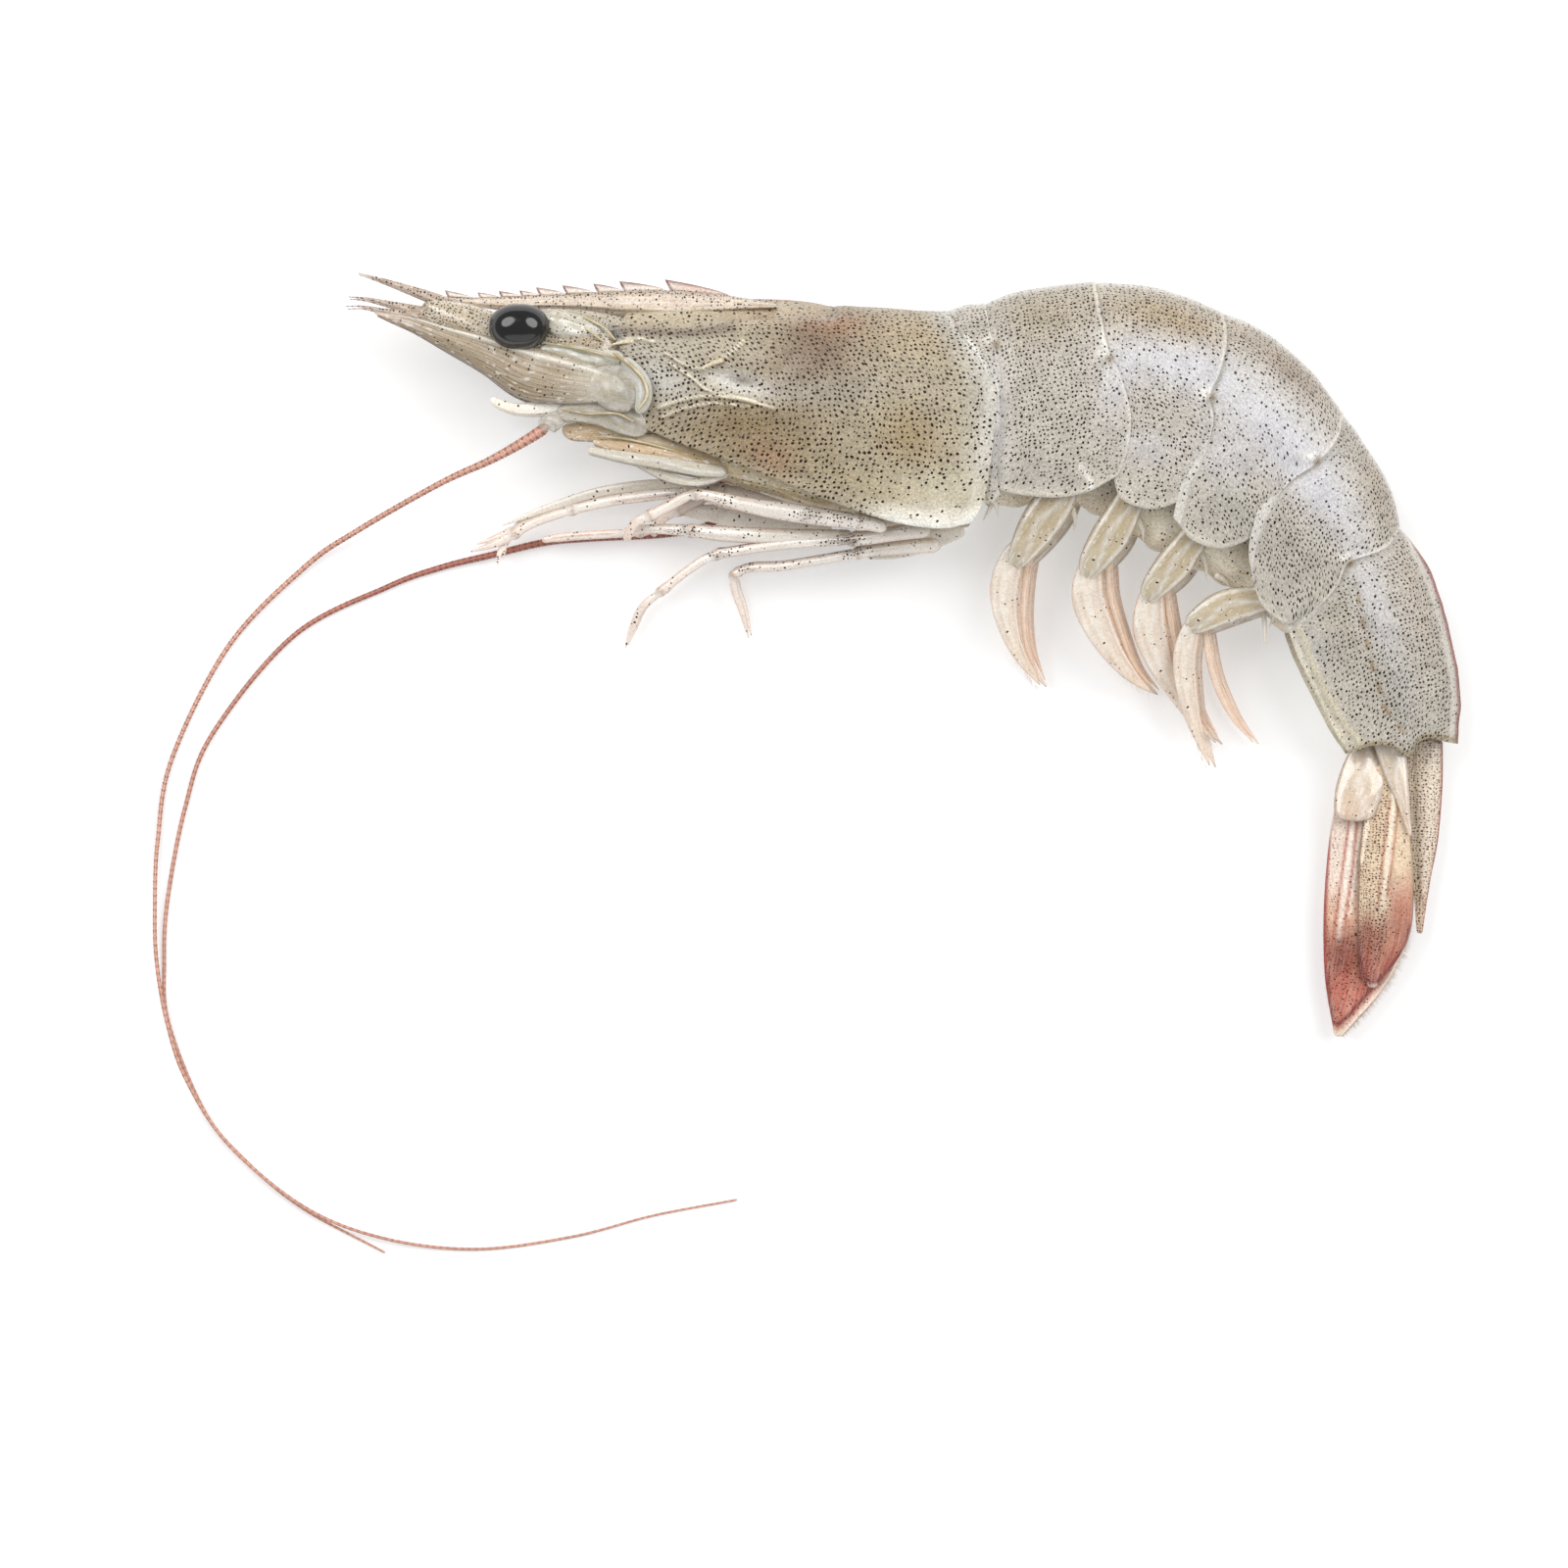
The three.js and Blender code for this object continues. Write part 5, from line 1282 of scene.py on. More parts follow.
KNOB = [[-54.7, -3.5, 1.0], [-55.8, -3.4, 1.15], [-56.6, -3.6, 1.1], [-57.4, -4.3, 0.75]]
PALP = [[-49.2, -1.5, 0.9], [-51.7, -0.8, 1.1], [-54.5, -1.1, 1.15], [-57.2, -1.8, 0.85], [-60, -2, 0.6],
        [-61.9, -1.5, 0.5], [-63, -0.9, 0.35]]
WEDGE = [[-46.5, -5.1, 1.2], [-49.2, -4.7, 1.5], [-51.7, -4.4, 1.2], [-53.9, -4.5, 0.9], [-55, -4, 0.5]]
FLAP_A = [[-36.3, -7.3, 0.8], [-39.6, -6.9, 1.3], [-43.5, -6.3, 1.4], [-46.8, -5.7, 1.0],
          [-50.9, -5.2, 0.4]]
FLAP_B = [[-37.1, -8.1, 0.7], [-41.2, -7.4, 1.1], [-45.6, -6.7, 1.0], [-49.5, -6, 0.6], [-51.6, -5.7, 0.25]]
ROD = [[-36.6, -9.1, 0.6], [-39.6, -8.8, 0.78], [-43.5, -8.1, 0.76], [-47.9, -7.4, 0.62],
       [-52.2, -6.6, 0.36]]
BLADE_V = [[-36.5, -9.3, 0.35], [-38.8, -10, 0.45], [-40.9, -10.2, 0.4], [-43.5, -9.5, 0.5],
           [-46.8, -8.1, 0.2]]
MOUTH = [
    ("lump", LUMP, 4.7, 4.9, lump_glass, 0.8), ("lobe", LOBE, 4.2, 4.9, glass_paint, 0.35),
    ("lower_lump", LOWER_LUMP, 3.2, 3.9, glass_paint, 0.4), ("brow", BROW, 1.9, 1.2, brow_paint, 0.5),
    ("cheek", CHEEK, 4.1, 3.4, cheek_paint, 0.5),
    ("palp", PALP, 3.0, 3.6, palp_paint, 0.5),
    ("wedge", WEDGE, 1.6, 2.0, tan_paint, 0.4), ("flap_a", FLAP_A, 2.6, 2.2, flap_paint, 0.35),
    ("flap_b", FLAP_B, 2.7, 2.6, tan_paint, 0.35), ("rod", ROD, 3.1, 3.4, rod_paint, 0.8),
    ("blade_v", BLADE_V, 2.6, 2.2, rod_paint, 0.4),
]
GLASSY = ("lump", "lobe", "lower_lump", "brow", "cheek", "palp")
for side, sign in SIDES:
    for label, rows, root, tip, paint, flat in MOUTH:
        stands_for = {"lobe": f"antenna_base_{side}", "rod": f"maxilliped_{side}"}.get(label)
        material = head_glass if label in GLASSY else pale_limb
        slot = "head_parts" if material is head_glass else "pale_limb"
        limb_piece(f"{label}_{side}", beside_middle(rows, sign, (root, tip)), material, slot,
                   paint, stands_for, steps=48, around=24, flat=flat)
knob_rows = [[x, y, w, z] for (x, y, w), z in zip(KNOB, (10.9, 10.9, 10.8, 10.5))]
limb_piece("antenna_knob", knob_rows, head_glass, "head_parts", glass_paint, steps=30, around=24, flat=0.95,
           relief=lambda xy, u, v, top: 0.12 * np.sin(6 * u + 5 * v))
HEAD_LINES = [
    ([[-49.3, 4.2, 0.2], [-47.1, 2.5, 0.26], [-45.8, 0.9, 0.26], [-45.5, -0.8, 0.24], [-46.5, -2.3, 0.16]],
     5.6, 5.9),
    ([[-56.6, 9.2, 0.1], [-53.4, 8.5, 0.16], [-50.6, 7.2, 0.18], [-49, 5.6, 0.14]], 2.6, 3.9),
    ([[-56, 8.4, 0.1], [-53.1, 7.4, 0.15], [-50.3, 5.4, 0.14]], 3.0, 4.2),
    ([[-57.1, 5.3, 0.1], [-53.4, 4.7, 0.16], [-49.5, 3.7, 0.16], [-47.9, 3.1, 0.1]], 4.6, 5.2),
    ([[-55.1, -2.1, 0.12], [-52.2, -2.6, 0.16], [-49, -2.6, 0.16], [-47, -3.5, 0.12]], 4.3, 4.6),
    ([[-51.6, -5.1, 0.1], [-47.9, -5.4, 0.16], [-43.5, -6.4, 0.16], [-39, -7.7, 0.12]], 3.2, 3.0),
]
line_paint = limb_paint("#a3915f", "#b3a272", highlight_tone="#fbf3dc", edge="#5f4b20", top_highlight=0.45, rim=0.9,
                        specks=0.0)
for side, sign in SIDES:
    for number, (rows, root, tip) in enumerate(HEAD_LINES, 1):
        limb_piece(f"head_line_{number}_{side}", beside_middle(rows, sign, (root, tip)), head_glass,
                   "head_parts", line_paint, steps=30, around=10, flat=0.9)
print("mouth parts are in place")

# %% Head and chest flesh
HEAD_CORE = [[-44.5, 2.6, 4.4], [-48.3, 3, 4.2], [-50.9, 3.5, 3.2]]
CHEST = [[-47.9, -4.2, 1.4], [-44.3, -5.4, 2.1], [-39, -6.8, 2.6], [-31.4, -8.8, 2.9], [-24.8, -11, 2.9],
         [-17.1, -12.4, 2.6], [-12.1, -12.7, 2.2], [-9.3, -11.9, 1.4]]
chest_paint = limb_paint("#cdbb92", "#dccdaa", highlight_tone="#efe6cb", edge="#6f5d36", top_highlight=0.2, rim=0.5,
                         specks=0.25, clusters=((-34.6, -9.9, 2.4, 0.8, -20, 0.35),
                                                (-39.6, -10.7, 2.5, 0.6, -8, 0.3)))
limb_piece("head_flesh", height_rows(HEAD_CORE, (MID, MID)), head_glass, "head_parts", stalk_paint, "head",
           steps=40, around=40, flat=0.85)
limb_piece("chest_flesh", height_rows(CHEST, (MID, 7.5)), belly_meat, "pale_limb", chest_paint, "thorax",
           steps=60, around=32, flat=1.1)
print("flesh is in place")

# %% [markdown]
# ## Walking legs
# Five pairs of thin glassy legs lie folded under the chest. Each has two or three marked joints, dark
# specks gather in clusters beside the joints, and the front pair ends in small pincers. The right legs
# lie under the left ones, so they follow the same lines nearer the table, moved a little towards the
# tail and the back.

# %% Walking legs
LEG_SLIM = 0.88
IVORY, PEACH, AMBER = "#faf3e8", "#fdeadb", "#b97f55"
LEGS = [
    {"path": [[-30.2, -13.5, 1.0], [-33.5, -12.9, 1.0], [-36.9, -12.2, 0.95], [-39.9, -11.3, 0.75],
              [-42.4, -11.3, 0.7], [-45.6, -11.6, 0.75], [-49.9, -12.2, 0.7], [-54.5, -13.3, 0.62],
              [-58.4, -14.6, 0.6], [-61.6, -16.4, 0.6], [-63.6, -17.2, 0.4], [-65.5, -17.8, 0.08]],
     "left": [8.8, 3], "right": [4.6, 1.7], "shift": [0.6, 0.9], "bands": (0.3, 0.66, 0.85),
     "veins": ((0.12, 0.32, 0.3, 0.8), (0.34, 0.55, 0.4, 0.6)),
     "clusters": ((-42.4, -11.4, 1.8, 0.5, 5, 0.7), (-39.6, -11.6, 1.6, 0.5, -20, 0.6),
                  (-33.5, -12.8, 2.0, 0.4, -20, 0.4))},
    {"path": [[-18.7, -15.4, 0.8], [-20.9, -14.8, 1.0], [-25.3, -14.2, 1.15], [-30.2, -13.5, 1.2],
              [-34.6, -12.7, 0.98], [-38.5, -11.7, 0.72], [-40.7, -11.6, 0.7], [-42.9, -12.7, 0.72],
              [-45.1, -13.8, 0.68], [-46.8, -14.6, 0.66], [-47.6, -15.8, 0.6], [-48, -16.7, 0.45]],
     "left": [12, 5.6], "right": [6, 3.6], "shift": [3, 0.6], "bands": (0.1, 0.68, 0.86),
     "veins": ((0.35, 0.66, 0.2, 0.85), (0.3, 0.6, -0.5, 0.35)),
     "clusters": ((-27.2, -14, 1.9, 0.8, 5, 0.85), (-22.8, -14.7, 2.6, 0.8, 5, 0.4),
                  (-37.4, -12, 1.6, 0.5, -15, 0.5))},
    {"path": [[-23.6, -16.2, 0.9], [-30.2, -16.2, 1.0], [-36.9, -15.9, 1.0], [-41.2, -15.5, 0.75],
              [-45.6, -15.3, 0.6], [-47.9, -15.7, 0.55], [-54.5, -16.1, 0.55], [-57.5, -16.5, 0.42]],
     "left": [8, 3.3], "right": [3.6, 1.9], "shift": [1.2, 0.1], "bands": (0.5, 0.71),
     "veins": ((0.3, 0.6, 0.3, 0.5), (0.75, 0.98, 0.0, 0.5)),
     "clusters": ((-40.7, -15.5, 1.6, 0.5, -5, 0.7), (-43.5, -15.4, 1.6, 0.4, 0, 0.4),
                  (-35.8, -15.9, 3.0, 0.3, 0, 0.4))},
    {"path": [[-13.8, -15.5, 1.0], [-17.6, -15.9, 1.0], [-21.4, -16.5, 0.85], [-24.8, -16.7, 0.7],
              [-30.2, -17.1, 0.68], [-34.6, -17.7, 0.62], [-38.5, -18.5, 0.6], [-41.2, -20.1, 0.58],
              [-43.9, -22.2, 0.52], [-46.2, -24.1, 0.5], [-47.3, -26.4, 0.42], [-48.1, -28.6, 0.1]],
     "left": [10.6, 2], "right": [4.4, 0.6], "shift": [0.3, 0.3], "bands": (0.22, 0.61, 0.8),
     "veins": ((0.4, 0.62, 0.5, 0.45),),
     "clusters": ((-22.9, -16.8, 1.5, 0.9, 0, 1.0), (-25.3, -16.9, 2.4, 0.5, 0, 0.6),
                  (-37.4, -18.3, 1.8, 0.5, 15, 0.7), (-46.8, -24.4, 1.2, 0.5, 60, 0.4))},
    {"path": [[-12.7, -17.2, 0.95], [-16.5, -17.4, 0.95], [-20.4, -17.8, 0.75], [-23.6, -18.4, 0.62],
              [-30.2, -19.5, 0.58], [-34.1, -19.7, 0.56], [-35.8, -20.5, 0.55], [-35.8, -22, 0.48],
              [-35, -24.4, 0.4], [-34.2, -27.5, 0.1]],
     "left": [8.4, 1.8], "right": [1.8, 0.5], "shift": [0.3, 0.3], "bands": (0.3, 0.76),
     "veins": ((0.45, 0.75, 0.5, 0.45),),
     "clusters": ((-22.3, -17.9, 1.6, 0.6, 8, 0.6), (-34.4, -19.8, 1.6, 0.5, 0, 0.6),
                  (-26.9, -18.9, 3.0, 0.4, 8, 0.3))},
]
PINCER = [[-61, -15.9, 0.35], [-61.7, -16.9, 0.42], [-62.3, -18.1, 0.3], [-62.5, -19.5, 0.06]]
SIDE_PLATES = [
    ([[-9.9, -15.5, 0.6], [-13.2, -16.4, 1.1], [-17.1, -17.6, 1.0], [-20.9, -18.3, 0.5]], 6.5, 4.5),
    ([[-24.8, -15.4, 0.5], [-28.6, -15, 1.1], [-33.5, -14.3, 1.3], [-38.5, -13.5, 1.0],
      [-42.4, -13.2, 0.4]], 6.0, 4.0),
    ([[-25.3, -11.9, 0.8], [-28.1, -12, 1.0], [-30.8, -11.3, 0.8], [-33, -10.8, 0.5]], 9.0, 8.4),
    ([[-40.7, -10.3, 0.5], [-45.3, -10.3, 0.6], [-51.1, -11.1, 0.55], [-56.6, -12.8, 0.45],
      [-61.9, -14.8, 0.1]], 5.0, 3.0),
]


def leg_relief(bands):
    """A swelling at each joint with a notch beside it."""
    def relief(xy, u, v, top):
        swell = sum(bell(u, band, 0.014) for band in bands)
        notch = sum(bell(u - band, 0.022, 0.008) for band in bands)
        return 0.16 * swell - 0.12 * notch
    return relief


for side, sign in SIDES:
    for number, leg in enumerate(LEGS, 1):
        shift = (0, 0) if sign > 0 else leg["shift"]
        paint = limb_paint(IVORY, PEACH, edge=AMBER, top_highlight=0.6, rim=0.9, bands=leg["bands"], specks=0.07,
                           clusters=leg["clusters"], veins=leg["veins"], clear=0.25, clear_tip=0.05,
                           rim_highlight=0.7, threads=0.12)
        rows = height_rows(leg["path"], leg[side], shift) * [1, 1, LEG_SLIM, 1]
        limb_piece(f"leg_{number}_{side}_limb", rows, pale_limb, "pale_limb", paint, f"leg_{number}_{side}",
                   steps=130, around=16, flat=0.85, relief=leg_relief(leg["bands"]))
    shift = (0, 0) if sign > 0 else LEGS[0]["shift"]
    finger = height_rows(PINCER, (LEGS[0][side][1] + 0.6, LEGS[0][side][1] + 0.1), shift)
    limb_piece(f"pincer_{side}", finger, pale_limb, "pale_limb", limb_paint(PEACH, PEACH), steps=20,
               around=10)
plate_paint = limb_paint("#f0e9dc", "#f3ecdf", edge="#b59a74", top_highlight=0.3, rim=0.35, specks=0.05, clear=0.3)
for number, (rows, root, tip) in enumerate(SIDE_PLATES, 1):
    limb_piece(f"side_plate_{number}", height_rows(rows, (root, tip)), pale_limb, "pale_limb", plate_paint,
               steps=40, around=20, flat=0.4)
print("legs are in place")

# %% [markdown]
# ## Swimmerets
# Under the tail rings hang pairs of paddles: a broad clear base with bright rims, an outer blade full
# of long fibres, and a thin orange-brown inner blade.

# %% Swimmerets
PADDLES = [
    {"left": [11.6, 4.6], "right": [4.4, 1.2],
     "base": [[1.4, -9.7, 1.8], [-0.1, -12.7, 2.3], [-1.9, -15.4, 2.2], [-3.6, -18.1, 1.5],
              [-4.3, -19.6, 0.9]],
     "outer": [[-3.4, -16.3, 0.6], [-4.6, -18.7, 1.4], [-5.4, -21.4, 1.65], [-5.4, -24.2, 1.5],
               [-4.6, -27.5, 1.05], [-3.3, -30.2, 0.6], [-1.4, -32.8, 0.06]],
     "inner": [[-2.5, -17.6, 0.5], [-3, -20.9, 0.45], [-3.2, -24.8, 0.42], [-2.8, -28.6, 0.35],
               [-1.5, -32.1, 0.05]]},
    {"left": [11.4, 4.4], "right": [4.2, 1.1],
     "base": [[9.6, -9.9, 1.5], [8, -13.2, 1.85], [6.3, -16.3, 2.15], [4.4, -19.2, 1.6], [3.9, -20.9, 0.9]],
     "outer": [[5, -17.6, 0.7], [4, -20.4, 1.55], [4, -23.3, 1.9], [5.2, -26.4, 1.75], [6.9, -29.4, 1.25],
               [9, -31.9, 0.7], [11.2, -33.7, 0.06]],
     "inner": [[6.2, -18.9, 0.5], [6.5, -22.6, 0.5], [7.6, -26.4, 0.45], [9.2, -30.5, 0.35],
               [11.4, -33.2, 0.05]]},
    {"left": [11.0, 2.8], "right": [4, 0.7],
     "base": [[17.9, -13.2, 1.4], [15.6, -16.5, 1.7], [13.4, -19.5, 2.0], [11.3, -22, 1.5],
              [10.7, -23.5, 0.9]],
     "outer": [[11.9, -20.7, 0.7], [11, -23.3, 1.55], [10.9, -26.4, 1.95], [11.8, -29.5, 1.65],
               [13.3, -32.8, 1.05], [15.6, -36.2, 0.6], [18.5, -39.3, 0.06]],
     "inner": [[12.7, -22, 0.5], [13.5, -26.4, 0.5], [14.7, -30.8, 0.45], [16.3, -35.4, 0.35],
               [18.1, -38.6, 0.05]]},
    {"left": [9.6, 4.8], "right": [3.9, 1.9],
     "base": [[26.1, -22.2, 1.4], [22.8, -23.3, 1.6], [19.2, -24.2, 1.95], [16.4, -25.7, 1.5],
              [15.1, -26.6, 0.9]],
     "outer": [[16.6, -24.4, 0.7], [15.3, -27.3, 1.2], [14.8, -30.2, 1.35], [15.2, -33.9, 1.2],
               [16.1, -37.6, 0.75], [17.7, -41.9, 0.06]],
     "inner": [[17.1, -26, 0.5], [18.1, -31.4, 0.55], [20.1, -36, 0.45], [22.6, -39.3, 0.06]]},
]
# In these paints the pale highlight tone, on top and near the edges, is painted highlight; it makes the
# bright rims.
base_paint = limb_paint("#c6b592", "#cfc0a0", highlight_tone="#ffffff", edge="#94713a", top_highlight=0.6, rim=0.9,
                        specks=0.02, clear=0.35, rim_highlight=0.6, threads=0.25)
outer_paint = limb_paint("#f8efe0", "#fbe6cf", highlight_tone="#ffffff", edge="#d39a68", top_highlight=0.3, rim=0.9,
                         specks=0.03, rim_highlight=0.5, veins=((0.05, 0.9, 0.55, 0.35),), clear=0.36, threads=0.3)
inner_paint = limb_paint("#f6dfc6", "#f8d5b6", highlight_tone="#fff6ea", edge="#c98252", top_highlight=0.4, rim=0.9,
                         specks=0.0, veins=((0.05, 0.9, 0.5, 0.6),), clear=0.4, threads=0.3)
BASE_SHARE = 0.35


def paddle_relief(xy, u, v, top):
    """Bright rims that stand up beside a shallow trough."""
    return 0.16 * bell(abs(v), 0.82, 0.1) - 0.12 * bell(v, 0, 0.5)


def feather_relief(xy, u, v, top):
    """Fine ribs along the upper side that sway a little."""
    return 0.07 * np.cos(16 * v + 1.5 * np.sin(5 * u)) * (top > 0)


for side, sign in SIDES:
    shift = (0, 0) if sign > 0 else (0.8, -0.2)
    for number, paddle in enumerate(PADDLES, 1):
        root, tip = paddle[side]
        joint = root + BASE_SHARE * (tip - root)
        for part, heights, paint, flat, relief in (
                ("base", (root, joint), base_paint, 0.55, paddle_relief),
                ("outer", (joint + 0.4, tip), outer_paint, 0.4, feather_relief),
                ("inner", (joint - 0.6, tip - 0.2), inner_paint, 0.6, None)):
            rows = height_rows(paddle[part], heights, shift)
            material = pale_limb if part == "base" else swimmer_blade
            node = f"swimmeret_{number}_{side}" if part == "base" else None
            limb_piece(f"swimmeret_{number}_{side}_{part}", rows, material, "pale_limb", paint, node,
                       steps=60, around=28, flat=flat, relief=relief)
print("paddles are in place")

# %% Small spines and hairs at the swimmerets
HAIR_TONES = ("#d9c3a6", "#e9d8c2")
HAIR_WIDTH = 0.02
JOINT_SPINES = [
    ([2, -13], [2.3, -15.6], 9.8), ([9.3, -14.1], [10.1, -16.9], 9.6), ([16.2, -17.2], [17.3, -21.3], 9.0),
    ([23, -22], [23.8, -28.8], 8.8), ([-7.4, -11.4], [-6.2, -14.1], 11.6),
    ([-6.5, -11], [-7.9, -14.5], 11.2), ([24.8, -24], [24.3, -26.4], 8.6),
    ([18.1, -20.5], [20.1, -22.2], 8.2),
]
spine_paint = limb_paint("#efe6d3", "#f3ead9", highlight_tone="#ffffff", edge="#b08f62", top_highlight=0.6, rim=0.9,
                         specks=0.0, clear=0.2)
for number, (root, tip, height) in enumerate(JOINT_SPINES, 1):
    root, tip = np.array(root), np.array(tip)
    bend = (root + tip) / 2 + [0.25, 0.1]
    rows = height_rows([[*root, 0.42], [*bend, 0.3], [*tip, 0.04]], (height, height - 1.2))
    limb_piece(f"joint_spine_{number}", rows, pale_limb, "pale_limb", spine_paint, steps=16, around=10,
               flat=0.7)
for number, paddle in enumerate(PADDLES, 1):
    root, tip = paddle["left"]
    joint = root + BASE_SHARE * (tip - root)
    outer = np.array(paddle["outer"])[:, :2]
    inner = np.array(paddle["inner"])[:, :2]
    edge_hairs(f"paddle_fringe_{number}", outer[3:] + [-0.5, -0.2], (joint + tip) / 2, (0.5, 1.0, 1.2),
               0.16, (-112, -70), HAIR_TONES, width=HAIR_WIDTH)
    edge_hairs(f"paddle_hairs_{number}", inner[1:-1] + [0.35, 0], (joint + tip) / 2, (0.5, 0.8), 0.3,
               (-40, -50), HAIR_TONES, width=HAIR_WIDTH)
print("spines and hairs are in place")

# %% [markdown]
# ## Belly
# Between the side flaps and the swimmerets the meat shows as folds of tan skin. It is one soft core
# that fills the rings from inside.

# %% Belly meat
BELLY = [[-9.9, -8.8, 4.2], [-7.2, -8.6, 4.6], [-1.6, -8.4, 4.2], [3.9, -8.8, 4.3], [8.2, -9.9, 5.2],
         [12.9, -12.1, 5.6], [18.1, -15.1, 5.4], [22.6, -18.3, 4.6], [26.4, -22, 3.8], [29.7, -26.9, 3.4]]
belly_paint = limb_paint("#eadfc6", "#e6dac2", highlight_tone="#fbf6e8", edge="#b39c68", top_highlight=0.2, rim=0.4,
                         specks=0.25)


def belly_relief(xy, u, v, top):
    """Folds across the belly, as between the joints of a bellows."""
    return 0.25 * np.sin(62 * u) * np.abs(v) - 0.1


limb_piece("belly_meat_core", height_rows(BELLY, (7.0, 6.6, 6.0, 5.0)), belly_meat, "pale_limb",
           belly_paint, steps=140, around=40, flat=0.66, relief=belly_relief)
print("belly is in place")

# %% [markdown]
# ## Tail fan
# A pointed middle piece lies along the back, and two pairs of broad blades lie beside and over each
# other. The blades go from beige through pink to brownish red, with dark red edges, raised ribs and a
# fringe of fine hairs at the end.

# %% Tail fan
TAIL_AXIS, TAIL_TIP_AXIS = 2.9, 2.2
TAIL_SHIFT = {"left": 0.0, "right": 0.35}
TELSON = ([[39.6, -38.5], [39.6, -44], [40, -50.3], [40.8, -55.7], [41.2, -60.7]],
          [[44.1, -38.5], [44.1, -44], [43.6, -50.3], [42.7, -55], [41.8, -60.9]])
OUTER = ([[32.2, -44.9], [31.4, -49], [30.8, -55], [30.6, -60.5], [30.8, -66], [31.4, -69.8],
          [31.9, -72.3]],
         [[36.2, -44.7], [36.7, -50.3], [38.1, -55], [39.8, -60], [38.9, -64.3], [36.3, -68.4],
          [32.5, -72.5]])
INNER = ([[36, -41.8], [34.9, -49], [34.5, -53.9], [34.4, -59.4], [34.6, -64.3], [35.2, -66.2],
          [35.8, -66.9]],
         [[39.7, -41.6], [40.1, -47.7], [40.6, -52.8], [40.6, -57.8], [40.1, -61.4], [38.6, -64.3],
          [36.4, -66.9]])
TAIL_LUMPS = [
    ("base", ([[34.4, -39], [32.9, -41.5], [32, -44], [31.7, -46.9], [32, -48.2]],
              [[36.2, -39], [37.3, -41.5], [37.7, -44], [36.6, -46.9], [36, -48.2]]),
     (1.1, 2.2), 0.3, (0.7, 0.4)),
    ("hinge", ([[35.8, -38.5], [36.6, -40.9], [37.5, -43.5], [38.8, -46.2], [40, -49.7]],
               [[39.5, -38.5], [39.9, -41.2], [40.1, -44], [40.3, -46.8], [40.4, -49.9]]),
     (2.4, 2.3), 0.34, (0.5, 1.0)),
]
OUTER_RIBS = [([[34.1, -46.4], [33.3, -53.4], [32.3, -61.3]], 0.3, 0.26),
              ([[35.3, -46.9], [34.2, -52.8], [33.5, -58.9]], 0.22, 0.16)]
OUTER_LINES = [[[34.5, -46.6], [33.9, -53.4], [32.9, -60.5]], [[33.7, -46.6], [32.7, -53.9], [31.7, -61.6]]]
INNER_RIBS = [([[38.5, -45.3], [37.8, -51.7], [37.2, -57.8]], 0.32, 0.26),
              ([[36.2, -45.3], [35.5, -48.4], [34.8, -52.8]], 0.22, 0.18)]
INNER_LINES = [[[38, -45.8], [37.3, -51.7], [36.7, -57.8]], [[39, -45.8], [38.4, -51.7], [37.7, -56.6]]]
OUTER_HEM = [[30.9, -64.9], [31.4, -69.1], [32.1, -71.1], [34.9, -68.4], [37.7, -64.7], [39.8, -60.5]]
INNER_HEM = [[34.5, -61.6], [34.8, -64.3], [35.5, -66.2], [36.4, -66.4], [38, -64.7], [39.7, -62.3],
             [40.4, -60]]
TELSON_RIBS = [([[42.8, -40.7], [42.5, -49.5], [41.9, -56.1]], 0.45, 0.14),
               ([[40.9, -40.7], [41.2, -50.3], [41.5, -57.2]], 0.3, -0.06)]


def lump_relief(xy, u, v, top):
    """Soft swellings."""
    return 0.06 * np.sin(5 * v + 4 * u) * np.sin(7 * u)


def ribbed(ribs):
    """Ribs stand up along their lines, and a thin bead runs round the edge."""
    def relief(xy, u, v, top):
        rise = raised(xy, ribs)
        rim = 0.1 * bell(abs(v), 0.93, 0.04)
        return (rise + rim + 0.012 * np.cos(60 * v)) * (top > 0)
    return relief


def outer_blade_paint(xy, u, v, top):
    """Pinkish white to dark red brown, with a pale rib between orange lines and a pale fringe margin."""
    down = -xy[..., 1] + 0.5 * np.sin(2.3 * xy[..., 0])
    ribs = np.clip(sum(near(xy, line, width) for line, width, _ in OUTER_RIBS), 0, 1)
    ribs = ribs * (1 - ramp(down, 58, 63))
    lines = on_any(xy, OUTER_LINES, 0.16)
    hem = near(xy, OUTER_HEM, 0.27)
    margin = near(xy, [[40.3, -60.7], [38.4, -65.5], [35.5, -69.2], [32, -72.4], [30.8, -68.2]], 0.55)
    tint = painted(
        xy.shape[:2], "#e0cdbf", (0.6 * ramp(v, -0.4, 0.6), "#cfb28c"),
        (0.75 * ramp(down, 53, 60), "#dba07c"), (0.9 * ramp(down, 59, 63.5), "#983f22"),
        (0.75 * spot(xy, 32.6, -63.6, 1.7, 3.6), "#74291a"),
        (0.85 * spot(xy, 33.5, -68, 2.4, 3.2, 70), "#c36a56"), (0.14 * np.cos(46 * v) ** 2, "#d7b79c"),
        (0.85 * ribs, "#efe2d6"), (0.9 * lines, "#a8491f"), (0.9 * margin, "#f3e0cf"),
        (0.95 * hem, "#6e150c"), (0.9 * ramp(-v, 0.86, 0.95) * ramp(u, 0.1, 0.25), "#93281a"),
    )
    return tint, (0.1 + 0.35 * ramp(down, 53, 60)) * (1 - margin) * (1 - ribs) * ramp(u, 0.03, 0.2)


